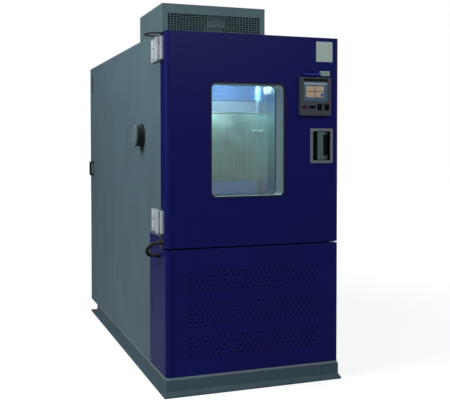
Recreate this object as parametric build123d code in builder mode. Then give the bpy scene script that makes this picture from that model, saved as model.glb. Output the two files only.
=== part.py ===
from build123d import *
from math import atan, cos, degrees, radians, sin, tan
import os

# Environmental test chamber: an upright insulated cabinet with a windowed door above a perforated
# fascia. Lengths are in millimetres. X runs across the front, Y runs back from the front, Z is up,
# and the origin is the centre of the base's underside.

# Overall
body_w = 920.0
body_l = 1963.0
roof_z = 1757.0
sheet = 2.0
corner_r = 22.0
seat = 0.3
run_fit = 0.05

# Base
base_l = 2023.0
base_h = 81.0
base_plate_t = 8.0
base_lip = 11.5
front_lip = 13.5
skirt_t = 5.0
skirt_flare = 20.0
skirt_short = 170.0
rib_count = 3
deck_t = 12.0
deck_proud = 1.5

# Lower fascia
fascia_top = 705.0
fascia_depth = 309.0
wing_h = 55.0
wing_gap = 6.0
band_z = (550.0, 392.0, 232.0)
hole_d = 10.0
hole_pitch = 29.5
hole_columns = 24
row_pitch = 21.5
wide_rows = 3

# Door slab
door_t = 86.0
door_gap = 6.0
door_seam = 8.0
door_top = 1750.0
plug_gap = 12.0
plug_t = 24.0
gasket_w = 25.0
gasket_inset = 22.0

# Window in the door
window_x = -40.0
window_z = 1231.0
window_w = 380.0
window_h = 548.0
window_r = 25.0
window_lip = 3.0
tunnel_t = 1.5
pane_t = 6.0
pane_gap = 0.5
gasket_face = 7.0
gasket_proud = 3.0

# Test space
liner_w = 700.0
liner_h = 820.0
liner_z = 800.0
liner_l = 1073.0
liner_t = 1.5
floor_foam = 108.5
front_bay_l = 1183.0
panel_seam = 3.0

# Air duct behind the test space
baffle_y = 736.0
baffle_t = 2.0
baffle_edge = 10.0
outlet_w = 600.0
outlet_z = 1415.0
outlet_h = 145.0
slat_count = 8
slat_w = 17.0
slat_tilt = 35.0
return_z = 825.0
return_h = 165.0
return_slots = 12
return_slot_w = 26.0
fan_back = 906.0
impeller_r = 125.0
impeller_h = 70.0
impeller_drop = 30.0
blade_count = 10
blade_t = 2.0
shaft_r = 9.0
shaft_hole_r = 14.0
shaft_reach = 60.0
motor_r = 57.0
motor_h = 180.0
motor_foot = 78.0
coil_w = 600.0
coil_h = 320.0
coil_t = 90.0
coil_z = 1020.0
coil_fins = 24
fin_t = 4.0
fin_spine = 30.0
rod_r = 5.0
rod_gap = 45.0
rod_count = 3

# Motor cover on the roof
cover_x = -5.5
cover_w = 613.0
cover_l = 520.0
cover_h = 235.0
cover_back = 508.0
mesh_side = 30.0
mesh_top = 53.0
mesh_foot = 14.0
mesh_columns = 31
mesh_rows = 13
mesh_bar = 4.0
mesh_t = 1.5
terminal_x = 36.0
terminal_back = 88.0
terminal_w = 110.0
terminal_l = 60.0
terminal_h = 72.0
terminal_z = 1885.0
bracket_t = 3.0

# Shelf, lamp and sensor
shelf_z = 895.0
shelf_l = 600.0
shelf_back = 60.0
shelf_rod = 6.0
shelf_wires = 16
shelf_gap = 8.0
rail_w = 14.0
rail_t = 2.0
lamp_back = 560.0
lamp_z = 1530.0
lamp_r = 32.0
lamp_t = 28.0
sensor_x = 330.0
sensor_z = 1290.0
sensor_r = 4.0
sensor_l = 120.0

# Cable port in the left wall
port_back = 370.0
port_z = 1255.0
port_bore = 50.0
port_wall = 2.5
port_rim = 65.0
port_rim_t = 5.0
port_neck = 55.0
port_neck_l = 33.0
port_cap_r = 57.5
port_cap_t = 10.0
plug_play = 0.5
catch_w = 14.0
catch_t = 4.0
catch_pin_r = 2.5
catch_hub_r = 5.0
catch_lug_t = 3.0

# Hinges
hinge_proud = 18.0
hinge_back = 80.0
pin_r = 5.0
knuckle_r = 11.0
leaf_t = 11.0
hinge_h = 110.0
hinge_low_z = 781.0
hinge_high_z = 1617.0
body_leaf_l = 140.0
door_leaf_front = 37.0
door_leaf_back = 68.0
screw_cap_l = 34.0
screw_cap_w = 12.0
screw_cap_t = 3.0

# Flush handle and latch
pocket_x = 360.5
pocket_z = 1203.0
pocket_frame_w = 127.0
pocket_frame_h = 176.0
pocket_w = 98.0
pocket_h = 148.0
pocket_wall = 4.0
pocket_depth = 50.0
pocket_rim = 2.5
lever_bar_w = 33.0
lever_bar_x = 29.0
lever_bar_t = 10.0
lever_back = 3.0
lever_gap = 3.0
top_arm_h = 15.0
low_arm_h = 22.0
pivot_side = 11.0
pivot_back = 26.0
pivot_r = 4.0
lever_boss_r = 9.0
case_gap = 2.0
case_w = 64.0
case_h = 30.0
case_t = 2.0
bolt_l = 44.0
bolt_t = 10.0
nose_w = 12.0
hook_w = 20.0
hook_t = 8.0
bolt_reach = 112.0
striker_t = 3.0
striker_w = 50.0
striker_h = 70.0
slot_w = 38.0
slot_h = 34.0

# Controller
panel_w = 170.0
panel_h = 192.5
panel_x = 317.0
panel_z = 1450.2
panel_t = 26.0
panel_r = 6.0
screen_w = 132.5
screen_h = 93.5
screen_x = 314.5
screen_z = 1476.0
screen_t = 1.2
screen_recess = 2.0
keys_z = 1397.0
rocker_w = 25.5
rocker_half = 14.6
rocker_tilt = 8.0
rocker_x = (336.5, 377.0)
rocker_depth = 12.0
rocker_gap = 0.5
rocker_slot = 16.0
axle_r = 1.5
axle_l = 2.0
flap_x = 296.0
flap_w = 32.0
flap_h = 14.0
flap_t = 2.4
flap_pin_r = 0.8
usb_w = 13.0
usb_h = 6.0
usb_depth = 14.0
lamp_x = 252.8
lamp_w = 28.8
lamp_proud = 1.0

# Stylus in its holder
stylus_r = 5.5
stylus_l = 135.0
stylus_x = 252.0
stylus_z = 1561.0
stylus_back = 11.0
stylus_fit = 0.1
holder_l = 49.0
holder_h = 26.0
holder_w = 20.0
holder_low = 1554.0

# Machinery
condenser_w = 660.0
condenser_h = 520.0
condenser_l = 70.0
condenser_back = 50.0
condenser_z = 110.0
condenser_fins = 20
shroud_t = 40.0
shroud_wall = 6.0
fan_r = 190.0
fan_gap = 6.0
fan_blades = 5
fan_hub_r = 40.0
fan_hub_l = 30.0
fan_chord = 52.0
fan_pitch = 28.0
drive_r = 55.0
drive_l = 110.0
drive_shaft_r = 6.0
drive_leg_t = 10.0
compressor_r = 95.0
compressor_h = 330.0
compressor_x = (-190.0, 190.0)
compressor_back = 1530.0
compressor_foot = 260.0
compressor_foot_t = 6.0
board_w = 500.0
board_h = 700.0
board_z = 700.0
board_t = 3.0
board_rows = 4
board_unit = 45.0

# Vents and handles on the machine section
vent_back = 1868.0
vent_z = 1640.0
vent_w = 60.0
vent_slots = 8
vent_slot_h = 8.0
vent_pitch = 15.0
rear_slots = 12
rear_slot_w = 240.0
rear_slot_h = 10.0
rear_slot_pitch = 24.0
rear_vent_x = 200.0
rear_vent_z = (420.0, 1360.0)
pull_back = 1843.0
pull_z = 1040.0
pull_h = 100.0
pull_reach = 30.0
pull_t = 12.0
pull_w = 16.0
pull_r = 10.0

# Cable loops across the hinge side
cable_r = 4.7
cable_gland_l = 8.0
cable_gland_r = 7.0
cable_points = (
    (-468.0, 44.0, 1741.0),
    (-492.0, 44.0, 1741.0),
    (-514.0, 51.0, 1740.0),
    (-530.0, 68.0, 1739.0),
    (-535.0, 91.0, 1738.0),
    (-529.0, 114.0, 1738.0),
    (-513.0, 131.0, 1738.0),
    (-491.0, 139.0, 1738.0),
    (-468.0, 139.0, 1738.0),
)
conduit_r = 9.5
conduit_gland_l = 10.0
conduit_gland_r = 14.0
conduit_points = (
    (-470.0, 46.0, 740.0),
    (-492.0, 46.0, 740.0),
    (-514.0, 54.0, 734.0),
    (-526.0, 70.0, 719.0),
    (-530.0, 88.0, 702.0),
    (-525.0, 106.0, 684.0),
    (-512.0, 120.0, 672.0),
    (-492.0, 126.0, 667.0),
    (-470.0, 126.0, 667.0),
)

# Planes and levels that the pieces share
side_x = body_w / 2
inner_x = side_x - sheet
front_y = front_lip - base_l / 2
frame_y = front_y + door_t + door_gap
rear_y = frame_y + body_l
deck_z = base_h + deck_t
wall_top = roof_z - sheet
door_low = fascia_top + door_seam
door_h = door_top - door_low
liner_front = frame_y + sheet
liner_back = liner_front + liner_l
liner_top = liner_z + liner_h
bulkhead_y = frame_y + front_bay_l
tray_z = liner_z - liner_t - floor_foam
plug_face = door_t + plug_t
fan_y = frame_y + fan_back
duct_y = frame_y + baffle_y
cover_y = frame_y + cover_back
hinge_x = -side_x - hinge_proud
hinge_y = front_y + hinge_back
panel_face = front_y - panel_t


def facing(y):
    """Plane through y that faces the front: its axes are X and Z."""
    return Plane((0, y, 0), x_dir=(1, 0, 0), z_dir=(0, -1, 0))


def across(x):
    """Plane through x that faces right: its axes are Y and Z."""
    return Plane((x, 0, 0), x_dir=(0, 1, 0), z_dir=(1, 0, 0))


def area(u0, u1, v0, v1, r=0.0, mode=Mode.ADD):
    """Rectangle between limits in the open sketch, with rounded corners when r is given."""
    with Locations(((u0 + u1) / 2, (v0 + v1) / 2)):
        if r:
            RectangleRounded(u1 - u0, v1 - v0, r, mode=mode)
        else:
            Rectangle(u1 - u0, v1 - v0, mode=mode)


def plate(plane, limits, thickness, r=0.0, mode=Mode.ADD):
    """Flat piece with a rectangular outline, thickness along the plane's normal."""
    with BuildSketch(plane) as outline:
        area(*limits, r)
    extrude(outline.sketch, amount=thickness, mode=mode)


def bent_front(inset, y_end):
    """Plan of the bent front: a rectangle with both front corners rounded."""
    x = side_x - inset
    y = front_y + inset
    with BuildLine() as outline:
        FilletPolyline((-x, y_end), (-x, y), (x, y), (x, y_end), radius=corner_r - inset)
        Line((x, y_end), (-x, y_end))
    make_face(outline.edges())


def window_area(grow, mode=Mode.ADD):
    """The window's outline in an upright sketch, grown all round."""
    w = window_w / 2 + grow
    h = window_h / 2 + grow
    area(window_x - w, window_x + w, window_z - h, window_z + h, window_r + grow, mode)


def save(piece, name):
    piece.part.label = name
    export_step(piece.part, f"parts/{name}.step")


os.makedirs("parts", exist_ok=True)

# Base: a bottom plate, a skirt that flares out to the plate's lip, and ribs under the deck
skirt_back = base_l / 2 - skirt_short
with BuildPart() as base_frame:
    with BuildSketch():
        Rectangle(body_w + 2 * base_lip, base_l)
    extrude(amount=base_plate_t)
    with BuildSketch(Plane.XY.offset(base_plate_t)):
        area(-side_x - base_lip, side_x + base_lip, front_y - base_lip, skirt_back)
    extrude(amount=skirt_flare, taper=degrees(atan(base_lip / skirt_flare)))
    with BuildSketch(Plane.XY.offset(base_plate_t + skirt_flare)):
        area(-side_x, side_x, front_y, skirt_back - base_lip)
    extrude(amount=base_h - base_plate_t - skirt_flare)
    with BuildSketch(Plane.XY.offset(base_plate_t)):
        area(-side_x + skirt_t, side_x - skirt_t, front_y + skirt_t, skirt_back - base_lip - skirt_t)
    extrude(amount=base_h, mode=Mode.SUBTRACT)
    rib_pitch = (skirt_back - front_y) / (rib_count + 1)
    for i in range(rib_count):
        rib_y = front_y + rib_pitch * (i + 1)
        plate(Plane.XY.offset(base_plate_t), (-side_x + skirt_t, side_x - skirt_t, rib_y, rib_y + skirt_t),
              base_h - base_plate_t)
save(base_frame, "base_frame")

# Deck: the folded floor plate, whose edge shows as a line under the casing
with BuildPart() as deck:
    with BuildSketch(Plane.XY.offset(base_h)):
        bent_front(-deck_proud, rear_y)
    extrude(amount=deck_t)
save(deck, "deck")

# Lower fascia: one sheet bent round both front corners, with wings that rise behind the door
fascia_end = front_y + fascia_depth
wing_y = frame_y + wing_gap
with BuildPart() as lower_fascia:
    with BuildSketch(Plane.XY.offset(deck_z)):
        bent_front(0.0, fascia_end)
    extrude(amount=fascia_top - deck_z)
    with BuildSketch(Plane.XY.offset(deck_z)):
        bent_front(sheet, fascia_end)
    extrude(amount=fascia_top - deck_z - sheet, mode=Mode.SUBTRACT)
    plate(Plane.XY.offset(fascia_top - sheet), (-inner_x, inner_x, frame_y, fascia_end), sheet,
          mode=Mode.SUBTRACT)
    for x in (-side_x, inner_x):
        plate(across(x), (wing_y, fascia_end, fascia_top - sheet, fascia_top + wing_h), sheet)
    with BuildSketch(facing(front_y + sheet)):
        for z in band_z:
            with Locations((0, z)):
                with GridLocations(hole_pitch, 2 * row_pitch, hole_columns, wide_rows):
                    RegularPolygon(hole_d / 2, 6)
                with GridLocations(hole_pitch, 2 * row_pitch, hole_columns - 1, wide_rows - 1):
                    RegularPolygon(hole_d / 2, 6)
    extrude(amount=sheet, mode=Mode.SUBTRACT)
save(lower_fascia, "lower_fascia")


def front_skin(x):
    """Side skin of the test section, notched round the fascia; x is its left face."""
    with BuildSketch(across(x)) as outline:
        area(frame_y, bulkhead_y, deck_z, wall_top)
        area(frame_y, fascia_end, deck_z, fascia_top + wing_h, mode=Mode.SUBTRACT)
    extrude(outline.sketch, amount=sheet)


def rear_skin(x):
    """Service panel of the machine section, with a column of vent slots near its back edge."""
    with BuildSketch(across(x)) as outline:
        area(bulkhead_y + panel_seam, rear_y, deck_z, wall_top)
        with Locations((frame_y + vent_back, vent_z)):
            with GridLocations(1, vent_pitch, 1, vent_slots):
                Rectangle(vent_w, vent_slot_h, mode=Mode.SUBTRACT)
    extrude(outline.sketch, amount=sheet)


port_y = frame_y + port_back
with BuildPart() as left_front_panel:
    front_skin(-side_x)
    with BuildSketch(across(-side_x)):
        with Locations((port_y, port_z)):
            Circle(port_bore + port_wall)
    extrude(amount=sheet, mode=Mode.SUBTRACT)
save(left_front_panel, "left_front_panel")

with BuildPart() as right_front_panel:
    front_skin(inner_x)
save(right_front_panel, "right_front_panel")

with BuildPart() as left_rear_panel:
    rear_skin(-side_x)
save(left_rear_panel, "left_rear_panel")

with BuildPart() as right_rear_panel:
    rear_skin(inner_x)
save(right_rear_panel, "right_rear_panel")

with BuildPart() as rear_panel:
    with BuildSketch(facing(rear_y)):
        area(-inner_x, inner_x, deck_z, wall_top)
        for z in rear_vent_z:
            with Locations((-rear_vent_x, z), (rear_vent_x, z)):
                with GridLocations(1, rear_slot_pitch, 1, rear_slots):
                    Rectangle(rear_slot_w, rear_slot_h, mode=Mode.SUBTRACT)
    extrude(amount=sheet)
save(rear_panel, "rear_panel")

with BuildPart() as top_panel:
    with BuildSketch(Plane.XY.offset(wall_top)):
        area(-side_x, side_x, frame_y, rear_y)
        with Locations((0, fan_y)):
            Circle(shaft_hole_r, mode=Mode.SUBTRACT)
    extrude(amount=sheet)
save(top_panel, "top_panel")

# Partition: the bulkhead behind the test section, folded forward into the tray under its insulation
with BuildPart() as partition:
    plate(facing(bulkhead_y), (-inner_x, inner_x, deck_z, wall_top), sheet)
    plate(Plane.XY.offset(tray_z - sheet), (-inner_x, inner_x, liner_front, bulkhead_y - sheet), sheet)
save(partition, "partition")


def bow_handle(side):
    """Bow handle on a side skin: two posts and a grip, bent round; side is -1 or 1."""
    y = frame_y + pull_back
    with BuildSketch(Plane((side * side_x, y, 0), x_dir=(side, 0, 0), z_dir=(0, -side, 0))) as bow:
        area(0, pull_reach, pull_z - pull_h / 2, pull_z + pull_h / 2)
        area(0, pull_reach - pull_t, pull_z - pull_h / 2 + pull_t, pull_z + pull_h / 2 - pull_t,
             mode=Mode.SUBTRACT)
        fillet(bow.vertices().filter_by(lambda v: v.X > pull_reach - 0.1), radius=pull_r)
    extrude(bow.sketch, amount=pull_w / 2, both=True)


with BuildPart() as side_pulls:
    bow_handle(-1)
    bow_handle(1)
save(side_pulls, "side_pulls")

# Front frame: stainless face round the mouth of the test space, slotted for the latch
latch_x = pocket_x + pocket_frame_w / 2
latch_z = pocket_z
with BuildPart() as front_frame:
    with BuildSketch(facing(frame_y + sheet)):
        area(-inner_x, inner_x, fascia_top, wall_top)
        area(-liner_w / 2, liner_w / 2, liner_z, liner_top, mode=Mode.SUBTRACT)
        with Locations((latch_x, latch_z)):
            Rectangle(slot_w, slot_h, mode=Mode.SUBTRACT)
    extrude(amount=sheet)
save(front_frame, "front_frame")

# Liner: welded stainless box with its shelf rails
liner_x = liner_w / 2
with BuildPart() as inner_liner:
    with BuildSketch(facing(liner_back)):
        area(-liner_x - liner_t, liner_x + liner_t, liner_z - liner_t, liner_top + liner_t)
        area(-liner_x, liner_x, liner_z, liner_top, mode=Mode.SUBTRACT)
    extrude(amount=liner_l)
    plate(facing(liner_back + liner_t),
          (-liner_x - liner_t, liner_x + liner_t, liner_z - liner_t, liner_top + liner_t), liner_t)
    with BuildSketch(Plane.XY.offset(liner_top)):
        with Locations((0, fan_y)):
            Circle(shaft_hole_r)
    extrude(amount=liner_t, mode=Mode.SUBTRACT)
    with BuildSketch(across(-liner_x - liner_t)):
        with Locations((port_y, port_z)):
            Circle(port_bore + port_wall)
    extrude(amount=liner_t, mode=Mode.SUBTRACT)
    shelf_y = liner_front + shelf_back
    rail_z = shelf_z - shelf_rod / 2
    for side in (-1, 1):
        wall = side * liner_x
        reach = side * (liner_x - rail_w)
        plate(Plane.XY.offset(rail_z - rail_t),
              (min(wall, reach), max(wall, reach), shelf_y, shelf_y + shelf_l), rail_t)
save(inner_liner, "inner_liner")

# Insulation round the liner, open at the front, hollowed for the latch and bored for shaft and port
case_x0 = latch_x - case_w / 2
case_x1 = latch_x + case_w / 2
with BuildPart() as foam_jacket:
    with BuildSketch(facing(bulkhead_y - sheet)):
        area(-inner_x, inner_x, tray_z, wall_top)
    extrude(amount=bulkhead_y - sheet - liner_front)
    with BuildSketch(facing(liner_back + liner_t)):
        area(-liner_x - liner_t, liner_x + liner_t, liner_z - liner_t, liner_top + liner_t)
    extrude(amount=liner_l + liner_t, mode=Mode.SUBTRACT)
    with BuildSketch(Plane.XY.offset(liner_top)):
        with Locations((0, fan_y)):
            Circle(shaft_hole_r)
    extrude(amount=wall_top - liner_top, mode=Mode.SUBTRACT)
    with BuildSketch(across(-inner_x)):
        with Locations((port_y, port_z)):
            Circle(port_bore + port_wall)
    extrude(amount=inner_x - liner_x, mode=Mode.SUBTRACT)
    with BuildSketch(facing(front_y + bolt_reach + case_gap)):
        with Locations((latch_x, latch_z)):
            Rectangle(slot_w, slot_h)
    extrude(amount=front_y + bolt_reach + case_gap - liner_front, mode=Mode.SUBTRACT)
save(foam_jacket, "foam_jacket")

# Air baffle: the duct's front wall, with two folded edges, an outlet above and return slots below
with BuildPart() as air_baffle:
    with BuildSketch(facing(duct_y + baffle_t)):
        area(-liner_x + pane_gap, liner_x - pane_gap, liner_z, liner_top)
        area(-outlet_w / 2, outlet_w / 2, outlet_z, outlet_z + outlet_h, mode=Mode.SUBTRACT)
        with Locations((0, return_z + return_h / 2)):
            with GridLocations(outlet_w / return_slots, 1, return_slots, 1):
                Rectangle(return_slot_w, return_h, mode=Mode.SUBTRACT)
    extrude(amount=baffle_t)
    for z in (return_z + return_h + baffle_edge, outlet_z - baffle_edge):
        plate(facing(duct_y), (-liner_x + pane_gap, liner_x - pane_gap, z, z + baffle_t), baffle_edge)
save(air_baffle, "air_baffle")

# Outlet: tilted slats between two cheeks
slat_pitch = outlet_h / slat_count
with BuildPart() as outlet_louvre:
    for x in (-outlet_w / 2, outlet_w / 2 - baffle_t):
        plate(across(x), (duct_y - baffle_edge, duct_y + baffle_edge, outlet_z, outlet_z + outlet_h),
              baffle_t)
    with BuildSketch(across(-outlet_w / 2)):
        for i in range(slat_count):
            with Locations(Location((duct_y, outlet_z + slat_pitch * (i + 0.5)), slat_tilt)):
                Rectangle(slat_w, baffle_t)
    extrude(amount=outlet_w)
save(outlet_louvre, "outlet_louvre")

# Evaporator: a finned block in the duct, with its headers
coil_y = duct_y + baffle_t + fin_spine
fin_pitch = coil_w / coil_fins
with BuildPart() as evaporator:
    with BuildSketch(Plane.XY.offset(coil_z)):
        area(-coil_w / 2, coil_w / 2, coil_y + coil_t - fin_spine, coil_y + coil_t)
        with Locations((0, coil_y + coil_t / 2)):
            with GridLocations(fin_pitch, 1, coil_fins, 1):
                Rectangle(fin_t, coil_t)
    extrude(amount=coil_h)
    for x in (-coil_w / 2, coil_w / 2 - fin_t):
        plate(across(x), (coil_y, liner_back, coil_z - fin_spine, coil_z + coil_h + fin_spine), fin_t)
save(evaporator, "evaporator")

# Heater: sheathed rods between two end brackets that stand on the coil's cheeks
heater_z = coil_z + coil_h + fin_spine
with BuildPart() as heater:
    for x in (-coil_w / 2, coil_w / 2 - fin_t):
        plate(across(x), (coil_y, coil_y + rod_gap * rod_count, heater_z, heater_z + 4 * rod_r), fin_t)
    with BuildSketch(across(-coil_w / 2)):
        with Locations((coil_y + rod_gap * rod_count / 2, heater_z + 2 * rod_r)):
            with GridLocations(rod_gap, 1, rod_count, 1):
                Circle(rod_r)
    extrude(amount=coil_w)
save(heater, "heater")

# Circulation fan: impeller and shaft, hanging from the motor on the roof
impeller_z = liner_top - impeller_drop - impeller_h
shaft_top = roof_z + shaft_reach
blade_out = impeller_r - blade_t
with BuildPart() as circulation_fan:
    with BuildSketch(Plane.XY.offset(impeller_z + impeller_h)):
        with Locations((0, fan_y)):
            Circle(impeller_r)
    extrude(amount=sheet)
    with BuildSketch(Plane.XY.offset(impeller_z)):
        with Locations((0, fan_y)):
            Circle(impeller_r)
            Circle(0.8 * impeller_r, mode=Mode.SUBTRACT)
    extrude(amount=sheet)
    with BuildSketch(Plane.XY.offset(impeller_z)):
        with Locations((0, fan_y)):
            with PolarLocations(0.82 * impeller_r, blade_count):
                Rectangle(0.3 * impeller_r, blade_t, rotation=40)
    extrude(amount=impeller_h)
    with BuildSketch(Plane.XY.offset(impeller_z + impeller_h / 2)):
        with Locations((0, fan_y)):
            Circle(2 * shaft_r)
    extrude(amount=impeller_h / 2)
    with BuildSketch(Plane.XY.offset(impeller_z + impeller_h)):
        with Locations((0, fan_y)):
            Circle(shaft_r)
    extrude(amount=shaft_top - impeller_z - impeller_h)
save(circulation_fan, "circulation_fan")

# Fan motor: flange, finned barrel and cap, bored for the shaft
with BuildPart() as fan_motor:
    with BuildSketch(Plane((0, fan_y, roof_z), x_dir=(1, 0, 0), z_dir=(0, -1, 0))):
        with BuildLine():
            Polyline((0, 0), (motor_foot, 0), (motor_foot, 8), (motor_r, 8), (motor_r, motor_h - 30))
            Line((motor_r, motor_h - 30), (motor_r + 3, motor_h - 30))
            Line((motor_r + 3, motor_h - 30), (motor_r + 3, motor_h - 12))
            ThreePointArc((motor_r + 3, motor_h - 12), (motor_r - 4, motor_h - 3), (motor_r - 20, motor_h))
            Polyline((motor_r - 20, motor_h), (0, motor_h), (0, 0))
        make_face()
    revolve(axis=Axis((0, fan_y, 0), (0, 0, 1)))
    with BuildSketch(Plane.XY.offset(roof_z)):
        with Locations((0, fan_y)):
            Circle(shaft_r + run_fit)
    extrude(amount=shaft_reach + 1, mode=Mode.SUBTRACT)
save(fan_motor, "fan_motor")

# Motor cover: folded roof, sides and back, open at the front for the mesh
cover_x0 = cover_x - cover_w / 2
cover_x1 = cover_x + cover_w / 2
cover_top = roof_z + cover_h
with BuildPart() as top_box:
    with BuildSketch(Plane.XY.offset(roof_z)):
        area(cover_x0, cover_x1, cover_y, cover_y + cover_l)
    extrude(amount=cover_h)
    with BuildSketch(Plane.XY.offset(roof_z)):
        area(cover_x0 + sheet, cover_x1 - sheet, cover_y, cover_y + cover_l - sheet)
    extrude(amount=cover_h - sheet, mode=Mode.SUBTRACT)
save(top_box, "top_box")

# Mesh front: upright bars in front of level bars, in one frame
mesh_x0 = cover_x0 + mesh_side
mesh_x1 = cover_x1 - mesh_side
mesh_low = roof_z + mesh_foot
mesh_high = cover_top - mesh_top
column_pitch = (mesh_x1 - mesh_x0) / mesh_columns
mesh_pitch = (mesh_high - mesh_low) / mesh_rows
with BuildPart() as box_grille:
    with BuildSketch(facing(cover_y + mesh_t)):
        area(cover_x0 + sheet, cover_x1 - sheet, roof_z, cover_top - sheet)
        with Locations((cover_x, (mesh_low + mesh_high) / 2)):
            with GridLocations(column_pitch, 1, mesh_columns, 1):
                Rectangle(column_pitch - mesh_bar, mesh_high - mesh_low, mode=Mode.SUBTRACT)
    extrude(amount=mesh_t)
    with BuildSketch(facing(cover_y + 2 * mesh_t)):
        area(cover_x0 + sheet, cover_x1 - sheet, roof_z, cover_top - sheet)
        with Locations((cover_x, (mesh_low + mesh_high) / 2)):
            with GridLocations(1, mesh_pitch, 1, mesh_rows):
                Rectangle(mesh_x1 - mesh_x0, mesh_pitch - mesh_bar, mode=Mode.SUBTRACT)
    extrude(amount=mesh_t)
save(box_grille, "box_grille")

# Terminal box on a folded bracket that stands on the roof
terminal_y = cover_y + terminal_back
with BuildPart() as terminal_box:
    with BuildSketch(across(terminal_x - terminal_w / 2)):
        area(terminal_y, terminal_y + terminal_l, terminal_z, terminal_z + terminal_h, r=5)
        area(terminal_y + terminal_l - bracket_t, terminal_y + terminal_l, roof_z, terminal_z + terminal_h / 2)
        area(terminal_y, terminal_y + terminal_l, roof_z, roof_z + bracket_t)
    extrude(amount=terminal_w)
save(terminal_box, "terminal_box")

# Wire shelf on the rails
shelf_x = liner_x - shelf_gap
with BuildPart() as wire_shelf:
    with BuildSketch(Plane.XY.offset(shelf_z - shelf_rod / 2)):
        area(-shelf_x, shelf_x, shelf_y, shelf_y + shelf_l)
        area(-shelf_x + shelf_rod, shelf_x - shelf_rod, shelf_y + shelf_rod, shelf_y + shelf_l - shelf_rod,
             mode=Mode.SUBTRACT)
        with Locations((0, shelf_y + shelf_l / 2)):
            with GridLocations(2 * shelf_x / (shelf_wires + 1), 1, shelf_wires, 1):
                Rectangle(shelf_rod / 2, shelf_l - shelf_rod)
    extrude(amount=shelf_rod)
save(wire_shelf, "wire_shelf")

with BuildPart() as interior_lamp:
    with BuildSketch(Plane((liner_x, frame_y + lamp_back, lamp_z), x_dir=(0, 1, 0), z_dir=(-1, 0, 0))):
        Circle(lamp_r)
    extrude(amount=lamp_t)
    fillet(interior_lamp.faces().sort_by(Axis.X)[0].edges(), radius=lamp_t / 3)
save(interior_lamp, "interior_lamp")

with BuildPart() as sensor:
    with BuildSketch(facing(duct_y)):
        with Locations((sensor_x, sensor_z)):
            Circle(2 * sensor_r)
    extrude(amount=4 * sensor_r)
    with BuildSketch(facing(duct_y - 4 * sensor_r)):
        with Locations((sensor_x, sensor_z)):
            Circle(sensor_r)
    extrude(amount=sensor_l)
save(sensor, "sensor")

# Cable port: a flanged sleeve through the wall
port_axis = Axis((0, port_y, port_z), (1, 0, 0))
sleeve_r = port_bore + port_wall
neck_x = side_x + port_rim_t + port_neck_l
catch_z = port_z - port_rim - catch_hub_r - seat
catch_x = side_x + catch_hub_r


def port_section():
    """Plane through the port's axis: its first axis points out of the left side."""
    return Plane((0, port_y, port_z), x_dir=(-1, 0, 0), z_dir=(0, 1, 0))


with BuildPart() as port_flange:
    with BuildSketch(port_section()):
        with BuildLine():
            Polyline((liner_x, port_bore), (neck_x, port_bore), (neck_x, port_neck - 2),
                     (neck_x - 2, port_neck), (side_x + port_rim_t, port_neck),
                     (side_x + port_rim_t, port_rim - 1), (side_x + port_rim_t - 1, port_rim),
                     (side_x, port_rim), (side_x, sleeve_r), (liner_x, sleeve_r), close=True)
        make_face()
    revolve(axis=port_axis)
    lug_y = catch_w / 2 + seat
    for y in (port_y - lug_y - catch_lug_t, port_y + lug_y):
        with BuildSketch(Plane((0, y, 0), x_dir=(-1, 0, 0), z_dir=(0, 1, 0))):
            with Locations((catch_x, catch_z)):
                Circle(catch_hub_r)
            area(side_x, catch_x, catch_z - catch_hub_r, port_z - port_neck)
        extrude(amount=catch_lug_t)
    with BuildSketch(Plane((0, port_y - lug_y, 0), x_dir=(-1, 0, 0), z_dir=(0, 1, 0))):
        with Locations((catch_x, catch_z)):
            Circle(catch_pin_r)
    extrude(amount=2 * lug_y)
save(port_flange, "port_flange")

cap_x = neck_x + seat
with BuildPart() as port_plug:
    with BuildSketch(across(-cap_x)):
        with Locations((port_y, port_z)):
            Circle(port_bore - plug_play)
    extrude(amount=cap_x - liner_x)
save(port_plug, "port_plug")

with BuildPart() as port_cap:
    with BuildSketch(across(-cap_x - port_cap_t)):
        with Locations((port_y, port_z)):
            Circle(port_cap_r)
    extrude(amount=port_cap_t)
    fillet(port_cap.faces().sort_by(Axis.X)[0].edges(), radius=port_cap_t / 4)
save(port_cap, "port_cap")

# Catch under the port: a short tab on the flange's cross pin, its tip clear of the cap
with BuildPart() as port_catch:
    with BuildSketch(Plane((0, port_y - catch_w / 2, 0), x_dir=(-1, 0, 0), z_dir=(0, 1, 0))):
        area(catch_x, neck_x - catch_t, catch_z - catch_t / 2, catch_z + catch_t / 2)
        with Locations((catch_x, catch_z)):
            Circle(catch_hub_r)
            Circle(catch_pin_r + run_fit, mode=Mode.SUBTRACT)
    extrude(amount=catch_w)
save(port_catch, "port_catch")

# Hinges: leaves, knuckles and pins on one upright axis beside the body
hinge_levels = (hinge_low_z, hinge_high_z)
segment = hinge_h / 3
leaf_x = -side_x - leaf_t


def barrel(z0, z1):
    """One knuckle, bored for the pin."""
    with BuildSketch(Plane.XY.offset(z0)) as ring:
        with Locations((hinge_x, hinge_y)):
            Circle(knuckle_r)
            Circle(pin_r + run_fit, mode=Mode.SUBTRACT)
    extrude(ring.sketch, amount=z1 - z0)


def web(y_leaf, z0, z1):
    """Flat web between a knuckle and its leaf, kept clear of the pin."""
    y0 = min(y_leaf, hinge_y)
    y1 = max(y_leaf, hinge_y)
    if y_leaf > hinge_y:
        y0 += pin_r + 1
    else:
        y1 -= pin_r + 1
    plate(Plane.XY.offset(z0), (leaf_x, hinge_x + knuckle_r, y0, y1), z1 - z0)


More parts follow.
